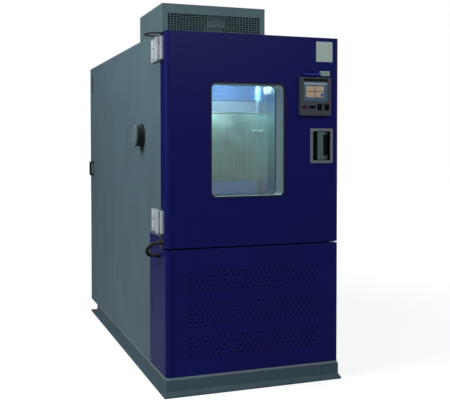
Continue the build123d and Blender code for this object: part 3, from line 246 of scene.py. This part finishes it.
# Lit liquid-crystal panel or lamp: its own light under a smooth glass face
def litPanel(name, colour, strength, roughness=0.25):
    material, tree = startMaterial(name)
    place = addNode(tree, "TexCoord").outputs["Object"]
    uneven = addNode(tree, "TexNoise", {"Scale": spacing(50)}, {"Vector": place}).outputs["Fac"]
    glow = mixColours(tree, uneven, colour, shade(colour, 0.92))
    skin = addNode(tree, "BsdfPrincipled", {"Roughness": roughness, "Emission Strength": strength},
                   {"Base Color": glow, "Emission Color": glow})
    closeMaterial(tree, skin.outputs[0])
    return material


# Rigid polyurethane foam: cream, finely blistered skin
def rigidFoam(name, colour):
    material, tree = startMaterial(name)
    place = addNode(tree, "TexCoord").outputs["Object"]
    cells = addNode(tree, "TexVoronoi", {"Scale": spacing(7)}, {"Vector": place}).outputs["Distance"]
    bump = addNode(tree, "Bump", {"Strength": 0.3, "Distance": 0.002}, {"Height": cells})
    skin = addNode(tree, "BsdfPrincipled", {"Roughness": 0.85},
                   {"Base Color": mixColours(tree, cells, colour, shade(colour, 0.85)),
                    "Normal": bump.outputs["Normal"]})
    closeMaterial(tree, skin.outputs[0])
    return material


# Pocket: satin die-cast rim, and a black moulded dish behind the plane of the door
def pocketCoat(name, rimColour, dishColour, planeY):
    material, tree = startMaterial(name)
    place = addNode(tree, "TexCoord").outputs["Object"]
    depth = addNode(tree, "SeparateXYZ", links={0: place}).outputs["Y"]
    inside = rangeOf(tree, depth, planeY - 0.0004, planeY + 0.0002)
    cloud = addNode(tree, "TexNoise", {"Scale": spacing(14), "Detail": 4.0},
                    {"Vector": place}).outputs["Fac"]
    rim = mixColours(tree, cloud, rimColour, shade(rimColour, 0.85))
    dish = mixColours(tree, cloud, dishColour, shade(dishColour, 1.6))
    skin = addNode(tree, "BsdfPrincipled", {"Specular IOR Level": 0.3},
                   {"Base Color": mixColours(tree, inside, rim, dish),
                    "Metallic": rangeOf(tree, inside, 0, 1, 0.35, 0.0),
                    "Roughness": rangeOf(tree, cloud, 0.3, 0.7, 0.4, 0.55)})
    closeMaterial(tree, skin.outputs[0])
    return material


# bright-annealed baffle sheet: upright roll lines; blue by the outlet, which is painted blue light, green below
# its folds
def baffleSheet(name, high, band, low, seams):
    material, tree = startMaterial(name)
    place = addNode(tree, "TexCoord").outputs["Object"]
    height = addNode(tree, "SeparateXYZ", links={0: place}).outputs["Z"]
    stretch = addNode(tree, "VectorMath", {"operation": "MULTIPLY", 1: (1, 1, 0.04)},
                      {0: place}).outputs["Vector"]
    lines = addNode(tree, "TexNoise", {"Scale": spacing(16), "Detail": 6.0, "Roughness": 0.75},
                    {"Vector": stretch}).outputs["Fac"]
    cloud = addNode(tree, "TexNoise", {"Scale": spacing(150), "Detail": 3.0},
                    {"Vector": place}).outputs["Fac"]
    wave = addNode(tree, "Math", {"operation": "MULTIPLY_ADD", 1: 0.02, 2: -0.01}, {0: cloud}).outputs[0]
    level = addNode(tree, "Math", {"operation": "ADD"}, {0: height, 1: wave}).outputs[0]
    lower = mixColours(tree, rangeOf(tree, level, seams[0] - 0.002, seams[0] + 0.002), low, band)
    # above the outlet seam the sheet turns to the blue top colour, which is painted blue light
    upper = mixColours(tree, rangeOf(tree, level, seams[1] - 0.002, seams[1] + 0.002), lower, high)
    streaked = mixColours(tree, rangeOf(tree, lines, 0.3, 0.75, 0.0, 0.6), upper, "dfe8ea")
    bump = addNode(tree, "Bump", {"Strength": 0.25, "Distance": 0.0015}, {"Height": lines})
    skin = addNode(tree, "BsdfPrincipled", {"Metallic": 1.0},
                   {"Base Color": streaked, "Normal": bump.outputs["Normal"],
                    "Roughness": rangeOf(tree, cloud, 0.3, 0.7, 0.24, 0.42)})
    closeMaterial(tree, skin.outputs[0])
    return material


# Bulkhead lamp: frosted glass whose middle glows and whose rim stays dull
def bulkheadGlass(name, centre, radius, strength):
    material, tree = startMaterial(name)
    place = addNode(tree, "TexCoord").outputs["Object"]
    away = addNode(tree, "VectorMath", {"operation": "DISTANCE", 1: centre}, {0: place}).outputs["Value"]
    ribs = addNode(tree, "TexWave", {"Scale": spacing(9) / 6.28, "Distortion": 0.4, "bands_direction": "Z"},
                   {"Vector": place}).outputs["Fac"]
    core = rangeOf(tree, away, radius * 0.35, radius)
    glow = addNode(tree, "Math", {"operation": "MULTIPLY_ADD", 1: -strength, 2: strength},
                   {0: core}).outputs[0]
    skin = addNode(tree, "BsdfPrincipled", {"Emission Color": linear("eaf6ff")},
                   {"Base Color": mixColours(tree, ribs, "c8d8dc", "9fb4ba"), "Emission Strength": glow,
                    "Roughness": rangeOf(tree, ribs, 0, 1, 0.25, 0.45)})
    closeMaterial(tree, skin.outputs[0])
    return material


finish = {
    # the second colour of each powder coat is its lighter edge colour: part wear, part painted edge highlight
    "navyCoat": powderCoat("powderCoatNavy", "181a66", "40438a", roughness=0.34, specular=0.08),
    "slateCoat": powderCoat("powderCoatSlate", "617983", "8a989e", roughness=0.5, specular=0.12),
    "plinthCoat": powderCoat("powderCoatPlinth", "4f6670", "7c8a90", roughness=0.5, specular=0.1),
    "deckCoat": powderCoat("powderCoatDeck", "7c9098", "9aa6aa", roughness=0.45, specular=0.2),
    "meshCoat": powderCoat("powderCoatMesh", "607a7e", "8a989e", roughness=0.5, specular=0.12),
    "hingeCoat": powderCoat("lacqueredHingeSteel", "c6d0d6", "dce0e2", roughness=0.4, specular=0.4),
    "capCoat": powderCoat("lacqueredCap", "e0e6ea", "e2e6e8", roughness=0.35, specular=0.5, edge=0.15),
    "motorEnamel": powderCoat("machineEnamelBlue", "2c4a8c", "5a6a8c", roughness=0.4, specular=0.3),
    "blackEnamel": powderCoat("enamelBlack", "141618", "45484a", roughness=0.45, specular=0.2),
    "greyBoxCoat": powderCoat("powderCoatBoxGrey", "9aa8ac", "b8c0c2", roughness=0.45, specular=0.3),
    "lining": brushedSteel("stainlessLining", "9fbccb", roughness=0.3, grain=(1, 1, 0.03), strength=0.2),
    # the baffle's blue top colour is painted blue light at the outlet
    "baffle": baffleSheet("annealedBaffle", "7fb6f4", "8fa8bc", "7fb09a", (1.401, 1.473)),
    # the guards' blue is painted blue light at the outlet
    "guard": brushedSteel("guardPaintedBlueLight", "4676ac", roughness=0.55, metallic=0.3),
    "band": brushedSteel("rolledBand", "6d8294", roughness=0.55, metallic=0.3),
    "reveal": brushedSteel("stainlessReveal", "c4d6e2", roughness=0.42, grain=(1, 0.03, 1), metallic=0.4),
    "frameSteel": brushedSteel("stainlessFrame", "b8bec2", roughness=0.3),
    "wireSteel": brushedSteel("electropolishedWire", "c4cacc", roughness=0.2, grain=(1, 0.05, 1)),
    "zinc": zincSheet("galvanisedSheet", "9ea4a6"),
    "coilAluminium": brushedSteel("aluminiumFins", "8c8e90", roughness=0.4),
    "fanSheet": brushedSteel("pressedFanSheet", "9a9ea2", roughness=0.35, grain=(1, 1, 1)),
    "latchSteel": brushedSteel("platedLatchSteel", "a0a2a4", roughness=0.3),
    "lever": dieCast("dieCastLever", "5c7676", metallic=0.3),
    "pocketFrame": pocketCoat("dieCastPocket", "7c848e", "050608", -0.998),
    "gasket": blackRubber("extrudedGasket", "08090c"),
    "doorSeal": blackRubber("siliconeDoorSeal", "8a9092"),
    "jacket": blackRubber("cableJacket", "0a0b0d", roughness=0.55),
    "conduit": mouldedPlastic("corrugatedNylon", "0b0c0e", roughness=0.45, specular=0.3),
    "gland": mouldedPlastic("mouldedGland", "101113", roughness=0.5),
    "bezel": mouldedPlastic("mouldedBezel", "454a55", roughness=0.5, specular=0.2),
    "blackKeys": mouldedPlastic("mouldedRocker", "040508", roughness=0.3, specular=0.12),
    "redLens": mouldedPlastic("tintedLens", "40121c", roughness=0.25, grain=0.0),
    "cap": mouldedPlastic("mouldedPortCap", "6d828a", roughness=0.45, specular=0.3),
    "plug": blackRubber("spongePlug", "8c9494", roughness=0.8),
    "neck": blackRubber("portSleeve", "101214", roughness=0.5),
    "stylusBlue": mouldedPlastic("mouldedStylus", "1a1aa0", roughness=0.35, grain=0.02, specular=0.3),
    "holder": mouldedPlastic("mouldedHolder", "8fa8a2", roughness=0.4),
    "glass": floatGlass("floatGlass", "f0faf8"),
    "lampGlass": bulkheadGlass("frostedLampGlass", (0.330, -0.346, 1.53), 0.02, 3.0),
    "foam": rigidFoam("polyurethaneFoam", "d9cfa4"),
    "screen": litPanel("litScreen", "47637c", 0.12),
    "screwZinc": dieCast("platedScrew", "8e989c", roughness=0.35, metallic=0.9),
    "darkStrip": mouldedPlastic("smokedStrip", "0c0e12", roughness=0.25, grain=0.01, specular=0.3),
}

wearing = {
    "navyCoat": ["lower_fascia", "door_shell"],
    "slateCoat": ["left_front_panel", "right_front_panel", "left_rear_panel", "right_rear_panel",
                  "rear_panel", "top_panel"],
    "plinthCoat": ["base_frame"],
    "deckCoat": ["deck"],
    "meshCoat": ["top_box", "box_grille"],
    "hingeCoat": ["hinge_body_leaves", "hinge_door_leaves"],
    "motorEnamel": ["fan_motor", "condenser_motor"],
    "blackEnamel": ["side_pulls", "compressors"],
    "greyBoxCoat": ["terminal_box", "electrical_panel"],
    "lining": ["inner_liner"],
    "baffle": ["air_baffle", "outlet_louvre"],
    "reveal": ["window_tunnel"],
    "neck": ["port_flange"],
    "frameSteel": ["front_frame", "door_liner", "striker"],
    "wireSteel": ["wire_shelf", "heater", "sensor", "port_catch"],
    "zinc": ["partition"],
    "coilAluminium": ["evaporator", "condenser"],
    "fanSheet": ["circulation_fan", "condenser_fan"],
    "latchSteel": ["latch_bolt"],
    "lever": ["handle_lever"],
    "pocketFrame": ["handle_pocket"],
    "gasket": ["window_gasket"],
    "doorSeal": ["door_gasket"],
    "jacket": ["door_cable"],
    "conduit": ["door_conduit"],
    "gland": ["door_glands", "body_glands"],
    "bezel": ["controller_housing"],
    "blackKeys": ["power_rocker", "light_rocker", "usb_flap"],
    "redLens": ["indicator_lamp"],
    "cap": ["port_cap"],
    "plug": ["port_plug"],
    "stylusBlue": ["stylus"],
    "holder": ["stylus_holder"],
    "glass": ["window_panes"],
    "lampGlass": ["interior_lamp"],
    "foam": ["foam_jacket", "door_foam"],
    "screen": ["touch_screen"],
}
for finishName, worn in wearing.items():
    for nodeName in worn:
        nodes[nodeName].data.materials.clear()
        nodes[nodeName].data.materials.append(finish[finishName])
print("finishes:", len(finish), "materials on", sum(len(w) for w in wearing.values()), "nodes")


def newPiece(name, mesh, material, body):
    piece = bpy.data.objects.new(name, mesh)
    scene.collection.objects.link(piece)
    if not mesh.materials:
        mesh.materials.append(material)
    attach(piece, body)
    return piece


def meshOf(name, work, smooth=True):
    mesh = bpy.data.meshes.new(name)
    work.to_mesh(mesh)
    work.free()
    for face in mesh.polygons:
        face.use_smooth = smooth
    return mesh


def addBox(work, low, high, bevel=0.0, segments=2):  # a block between two corners, its edges eased
    size = [b - a for a, b in zip(low, high)]
    centre = [(a + b) / 2 for a, b in zip(low, high)]
    place = Matrix.Translation(centre) @ Matrix.Diagonal((*size, 1.0))
    made = bmesh.ops.create_cube(work, size=1.0, matrix=place)
    if bevel:
        edges = list({e for v in made["verts"] for e in v.link_edges})
        bmesh.ops.bevel(work, geom=edges, offset=bevel, segments=segments, profile=0.7, affect="EDGES")


# the two cable loops at the hinge side, through the points of their routes
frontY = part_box("door_shell")[0].y
loops = {
    "upperCable": {
        "node": "door_cable", "radius": 0.0047, "material": "jacket", "slot": "cable_jacket",
        "points": [(-0.468, 0.044, 1.741), (-0.492, 0.044, 1.741), (-0.514, 0.051, 1.740),
                   (-0.530, 0.068, 1.739), (-0.535, 0.091, 1.738), (-0.529, 0.114, 1.738),
                   (-0.513, 0.131, 1.738), (-0.491, 0.139, 1.738), (-0.468, 0.139, 1.738)],
    },
    "lowerConduit": {
        "node": "door_conduit", "radius": 0.0095, "groove": 0.0016, "material": "conduit",
        "slot": "cable_jacket",
        "points": [(-0.470, 0.046, 0.740), (-0.492, 0.046, 0.740), (-0.514, 0.054, 0.734),
                   (-0.526, 0.070, 0.719), (-0.530, 0.088, 0.702), (-0.525, 0.106, 0.684),
                   (-0.512, 0.120, 0.672), (-0.492, 0.126, 0.667), (-0.470, 0.126, 0.667)],
    },
}


def routeLine(points):  # the smooth line through a route's control points
    curve = bpy.data.curves.new("route", "CURVE")
    curve.dimensions = "3D"
    spline = curve.splines.new("NURBS")
    spline.points.add(len(points) - 1)
    for point, (x, y, z) in zip(spline.points, points):
        point.co = (x, frontY + y, z, 1.0)
    spline.order_u = 3
    spline.use_endpoint_u = True
    spline.resolution_u = 12
    holder = bpy.data.objects.new("route", curve)
    scene.collection.objects.link(holder)
    bpy.context.view_layer.update()
    line = bpy.data.meshes.new_from_object(holder)
    path = [v.co.copy() for v in line.vertices]
    bpy.data.objects.remove(holder)
    return path


def evenly(path, step):  # the same line, cut at even distances
    lengths = [0.0]
    for a, b in zip(path, path[1:]):
        lengths.append(lengths[-1] + (b - a).length)
    count = max(2, round(lengths[-1] / step))
    made = []
    for i in range(count + 1):
        want = lengths[-1] * i / count
        k = max(j for j, have in enumerate(lengths) if have <= want + 1e-9)
        k = min(k, len(path) - 2)
        share = (want - lengths[k]) / max(lengths[k + 1] - lengths[k], 1e-9)
        made.append(path[k].lerp(path[k + 1], share))
    return made, lengths[-1]


def tubeAlong(work, path, radii, sides=20):  # rings that follow a line, closed at both ends
    rings = []
    side = None
    for i, centre in enumerate(path):
        ahead = (path[min(i + 1, len(path) - 1)] - path[max(i - 1, 0)]).normalized()
        side = ahead.orthogonal() if side is None else side - ahead * side.dot(ahead)
        side.normalize()
        up = ahead.cross(side)
        turns = [2 * pi * k / sides for k in range(sides)]
        rings.append([work.verts.new(centre + radii[i] * (side * cos(turn) + up * sin(turn))) for turn in turns])
    for a, b in zip(rings, rings[1:]):
        for k in range(sides):
            work.faces.new((a[k], a[(k + 1) % sides], b[(k + 1) % sides], b[k]))
    work.faces.new(rings[0][::-1])
    work.faces.new(rings[-1])


for loopName, loop in loops.items():
    path = routeLine(loop["points"])
    r = loop["radius"]
    if loopName == "lowerConduit":
        ribs, length = evenly(path, 0.0011)  # four rings to a corrugation 4.4 mm long
        radii = [r if i % 4 < 2 else r - loop["groove"] for i in range(len(ribs))]
    else:
        ribs, length = evenly(path, 0.004)
        radii = [r] * len(ribs)
    work = bmesh.new()
    tubeAlong(work, ribs, radii)
    bmesh.ops.recalc_face_normals(work, faces=work.faces)
    tube = bpy.data.objects.new(loopName, meshOf(loopName, work))
    scene.collection.objects.link(tube)
    tube.data.materials.append(finish[loop["material"]])
    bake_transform(tube)
    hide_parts(loop["node"])
    print("loop:", loopName, round(length * 1000), "mm")

# controls: what the lit screen shows, as plain fields
screenLow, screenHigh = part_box("touch_screen")
fields = {
    "proud": 0.00012, "sunk": 0.0001,
    "cream": "b9a488", "band": "8fa3b4", "line": "31404a", "box": "35509a",
}
fieldMaterials = {
    "cream": litPanel("screenFieldCream", fields["cream"], 0.16),
    "band": litPanel("screenBand", fields["band"], 0.16),
    "line": litPanel("screenLine", fields["line"], 0.15),
    "box": litPanel("screenBoxBlue", fields["box"], 0.3),
}
screenParts = [  # left, top, right, bottom in mm from the screen's upper left corner
    ("band", 3, 3, 129, 13), ("cream", 12, 20, 60, 45), ("cream", 64, 20, 112, 45),
    ("cream", 12, 49, 60, 76), ("cream", 64, 49, 112, 76), ("line", 61, 20, 63, 76),
    ("box", 94, 56, 110, 72),
]
for kind in fieldMaterials:
    work = bmesh.new()
    for part, left, top, right, bottom in screenParts:
        if part == kind:
            lift = fields["proud"] * (2 if kind in ("line", "box") else 1)
            addBox(work, (screenLow.x + left / 1000, screenLow.y - lift, screenHigh.z - bottom / 1000),
                   (screenLow.x + right / 1000, screenLow.y + fields["sunk"], screenHigh.z - top / 1000))
    name = "screenField_" + kind
    newPiece(name, meshOf(name, work, False), fieldMaterials[kind], "door")

# bare plate at the door's upper right corner: thin, its edges eased, printed with nothing
plate = {"x": (0.329, 0.421), "z": (1.6285, 1.730), "thick": 0.0008, "ease": 0.0003, "colour": "b9cfc9"}
work = bmesh.new()
addBox(work, (plate["x"][0], frontY - plate["thick"], plate["z"][0]),
       (plate["x"][1], frontY, plate["z"][1]), plate["ease"])
newPiece("barePlate", meshOf("barePlate", work, False),
         mouldedPlastic("printedVinyl", plate["colour"], roughness=0.4, grain=0.02), "door")

# dark bare strip over the screen
strip = {"x": (0.2475, 0.3805), "z": (1.5265, 1.5400), "thick": 0.0003, "ease": 0.0001}
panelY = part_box("controller_housing")[0].y
work = bmesh.new()
addBox(work, (strip["x"][0], panelY - strip["thick"], strip["z"][0]),
       (strip["x"][1], panelY + strip["ease"], strip["z"][1]), strip["ease"])
newPiece("screenStrip", meshOf("screenStrip", work, False), finish["darkStrip"], "door")
print("door: screen fields, strip and bare plate")


head = {"sides": 16, "profile": ((1.0, 0.0), (0.92, 0.55), (0.62, 0.92))}  # shares of radius and rise


def addScrew(work, place, normal, radius, rise):  # a low domed head
    base = Matrix.Translation(place) @ Vector(normal).to_track_quat("Z", "Y").to_matrix().to_4x4()
    turns = [2 * pi * k / head["sides"] for k in range(head["sides"])]
    rings = [[work.verts.new(base @ Vector((radius * share * cos(turn), radius * share * sin(turn), rise * high)))
              for turn in turns] for share, high in head["profile"]]
    top = work.verts.new(base @ Vector((0, 0, rise)))
    for low, high in zip(rings, rings[1:]):
        for k in range(len(low)):
            work.faces.new((low[k - 1], low[k], high[k], high[k - 1]))
    for k in range(len(rings[-1])):
        work.faces.new((rings[-1][k - 1], rings[-1][k], top))


# bright caps over the screws of each hinge's body leaf, two to a hinge
caps = {"long": 0.032, "high": 0.034, "thick": 0.0052, "ease": 0.0014, "x": -0.471, "y": -0.8135}
hinges = {"feet": (0.781, 1.617), "high": 0.110, "capShares": (0.25, 0.75)}
work = bmesh.new()
for foot in hinges["feet"]:
    for share in hinges["capShares"]:
        z = foot + hinges["high"] * share
        addBox(work, (caps["x"] - caps["thick"], caps["y"] - caps["long"] / 2, z - caps["high"] / 2),
               (caps["x"] + 0.0002, caps["y"] + caps["long"] / 2, z + caps["high"] / 2), caps["ease"], 3)
newPiece("hingeCaps", meshOf("hingeCaps", work), finish["capCoat"], "cabinet")

# small screws: along the side skins and on the fascia's wings
sideX = -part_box("left_front_panel")[0].x
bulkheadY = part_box("left_front_panel")[1].y
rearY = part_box("rear_panel")[1].y
screwRows = {
    "radius": 0.0045, "rise": 0.002,
    "frontY": (-0.60, -0.20, 0.20), "frontZ": 1.72,
    "rearY": (bulkheadY + 0.03, rearY - 0.022), "rearZ": (0.13, 0.52, 0.92, 1.32, 1.72),
    "wingY": (-0.86, -0.72), "wingZ": 0.115,
}
work = bmesh.new()
for side in (-1, 1):
    spots = [(y, screwRows["frontZ"]) for y in screwRows["frontY"]]
    spots += [(y, z) for z in screwRows["rearZ"] for y in screwRows["rearY"]]
    spots += [(y, screwRows["wingZ"]) for y in screwRows["wingY"]]
    for y, z in spots:
        addScrew(work, (side * sideX, y, z), (side, 0, 0), screwRows["radius"], screwRows["rise"])
newPiece("panelScrews", meshOf("panelScrews", work), finish["screwZinc"], "cabinet")

# fine guards over the air outlet and the returns, and the folded trim strips of the baffle: a band, a dark strip
# that is painted shadow in the gap above the band, and bright strips that are painted highlight along its folds
guards = {"wire": 0.0026, "pitch": 0.0036, "thick": 0.0006, "border": 0.004, "half": 0.335,
          "outlet": (1.475, 1.602), "return": (0.835, 0.992)}
trims = {
    "half": 0.338, "thick": 0.0012, "ease": 0.0003,
    "Band": {"finish": "band", "layers": 1, "rows": ((1.403, 1.4710),)},
    # a dark strip that is painted shadow in the gap between the band and the outlet
    "GapShade": {"finish": "darkStrip", "layers": 2, "rows": ((1.4710, 1.4750),)},
    # bright strips that are painted highlight along the baffle's folds
    "Bright": {"finish": "wireSteel", "layers": 2, "rows": ((1.3995, 1.403), (1.0115, 1.0145))},
}
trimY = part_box("air_baffle")[0].y - guards["thick"]
for guardName in ("outlet", "return"):
    work = bmesh.new()
    z0, z1 = guards[guardName]
    for k in range(round(2 * guards["half"] / guards["pitch"])):
        x = -guards["half"] + k * guards["pitch"]
        addBox(work, (x, trimY - guards["thick"], z0), (x + guards["wire"], trimY, z1))
    for z in (z0, z1 - guards["border"]):
        addBox(work, (-guards["half"], trimY - 2 * guards["thick"], z),
               (guards["half"], trimY, z + guards["border"]))
    newPiece(guardName + "Guard", meshOf(guardName + "Guard", work, False), finish["guard"], "cabinet")
for trimName in ("Band", "GapShade", "Bright"):
    trim = trims[trimName]
    work = bmesh.new()
    for z0, z1 in trim["rows"]:
        addBox(work, (-trims["half"], trimY - trim["layers"] * trims["thick"], z0),
               (trims["half"], trimY, z1), trims["ease"])
    name = "baffleTrim" + trimName
    newPiece(name, meshOf(name, work, False), finish[trim["finish"]], "cabinet")

# screws of the air baffle, seen through the window as small bright dots
baffleRows = {"x": (-0.30, -0.1, 0.1, 0.30), "z": (0.985, 1.437), "radius": 0.005, "rise": 0.002}
work = bmesh.new()
for x in baffleRows["x"]:
    for z in baffleRows["z"]:
        addScrew(work, (x, trimY - trims["thick"], z), (0, -1, 0), baffleRows["radius"], baffleRows["rise"])
newPiece("baffleScrews", meshOf("baffleScrews", work), finish["screwZinc"], "cabinet")
print("cabinet: screws")

# light: a near soft box high on the left, a weak one in front, one over the top, a lamp in the chamber
lights = {
    "softLeft": {"place": (-2.8, -0.9, 3.4), "aim": (-0.46, 0.1, 1.3), "size": (2.0, 1.4), "power": 84},
    "softFront": {"place": (0.6, -4.6, 3.0), "aim": (0, -1.0, 1.0), "size": (2.4, 1.8), "power": 52},
    "softTop": {"place": (0.2, 0.4, 4.6), "aim": (0, 0, 0), "size": (3.0, 3.0), "power": 40},
    "chamberLamp": {"place": (0.16, -0.58, 1.58), "aim": (0.0, -0.17, 1.15), "size": (0.2, 0.12), "power": 4.5,
                    "colour": "e6f2ff"},
}
for lightName, light in lights.items():
    lamp = bpy.data.lights.new(lightName, "AREA")
    lamp.shape = "RECTANGLE"
    lamp.size, lamp.size_y = light["size"]
    lamp.energy = light["power"]
    lamp.color = linear(light.get("colour", "ffffff"))[:3]
    lampObject = bpy.data.objects.new(lightName, lamp)
    lampObject.location = light["place"]
    ahead = Vector(light["aim"]) - Vector(light["place"])
    lampObject.rotation_euler = ahead.to_track_quat("-Z", "Y").to_euler()
    scene.collection.objects.link(lampObject)

# dark cards that only reflections see: one in front, one behind on the left, so the enamel keeps its depth
cards = {
    "cardFront": {"place": (1.6, -6.2, 2.5), "turn": 0.0, "size": (7.0, 5.0)},
    "cardBack": {"place": (-3.1, 6.4, 2.2), "turn": 19.0, "size": (9.0, 6.0)},
}
cardMaterial, tree = startMaterial("blackFlag")
closeMaterial(tree, addNode(tree, "BsdfPrincipled", {"Base Color": linear("101014"), "Roughness": 1.0,
                                                     "Specular IOR Level": 0.0}).outputs[0])
for cardName, card in cards.items():
    w, h = card["size"][0] / 2, card["size"][1] / 2
    cardMesh = bpy.data.meshes.new(cardName)
    cardMesh.from_pydata([(-w, 0, -h), (w, 0, -h), (w, 0, h), (-w, 0, h)], [], [(0, 1, 2, 3)])
    cardMesh.materials.append(cardMaterial)
    cardObject = bpy.data.objects.new(cardName, cardMesh)
    cardObject.location = card["place"]
    cardObject.rotation_euler = (0, 0, radians(card["turn"]))
    scene.collection.objects.link(cardObject)
    cardObject.visible_camera = cardObject.visible_diffuse = False
    cardObject.visible_transmission = cardObject.visible_shadow = False

# world: pale studio, white where it is looked at, gentler where it only lights
world = bpy.data.worlds.new("studio")
world.use_nodes = True
scene.world = world
tree = world.node_tree
tree.nodes.clear()
rays = addNode(tree, "LightPath")
seen = addNode(tree, "Math", {"operation": "MAXIMUM"},
               {0: rays.outputs["Is Camera Ray"], 1: rays.outputs["Is Glossy Ray"]})
seen = addNode(tree, "Math", {"operation": "MAXIMUM"},
               {0: seen.outputs[0], 1: rays.outputs["Is Transmission Ray"]})
ambient = addNode(tree, "Background", {"Color": linear("eef2f6"), "Strength": 0.2})
backdrop = addNode(tree, "Background", {"Color": linear("ffffff"), "Strength": 1.0})
sky = addNode(tree, "MixShader", {}, {0: seen.outputs[0], 1: ambient.outputs[0], 2: backdrop.outputs[0]})
out = tree.nodes.new("ShaderNodeOutputWorld")
tree.links.new(sky.outputs[0], out.inputs["Surface"])

# floor: pale, keeps the shadow, white where the light falls
floorMesh = bpy.data.meshes.new("floor")
reach = 14
floorMesh.from_pydata([(-reach, -reach, 0), (reach, -reach, 0), (reach, reach, 0), (-reach, reach, 0)],
                      [], [(0, 1, 2, 3)])
material, tree = startMaterial("studioFloor")
rays = addNode(tree, "LightPath")
seen = addNode(tree, "Math", {"operation": "MAXIMUM"},
               {0: rays.outputs["Is Camera Ray"], 1: rays.outputs["Is Transmission Ray"]})
place = addNode(tree, "TexCoord").outputs["Object"]
away = addNode(tree, "VectorMath", {"operation": "LENGTH"}, {0: place}).outputs["Value"]
glow = rangeOf(tree, away, 1.6, 5.0, 0.75, 1.0)  # the shadow stays near the object, and no horizon shows
lift = addNode(tree, "Math", {"operation": "MULTIPLY"}, {0: seen.outputs[0], 1: glow}).outputs[0]
matt = addNode(tree, "BsdfPrincipled", {"Base Color": linear("bcbcbc"), "Roughness": 0.9,
                                        "Emission Color": (1, 1, 1, 1), "Specular IOR Level": 0.0},
               {"Emission Strength": lift})
closeMaterial(tree, matt.outputs[0])
floorMesh.materials.append(material)
floor = bpy.data.objects.new("floor", floorMesh)
scene.collection.objects.link(floor)
print("stage: lights, world and floor")
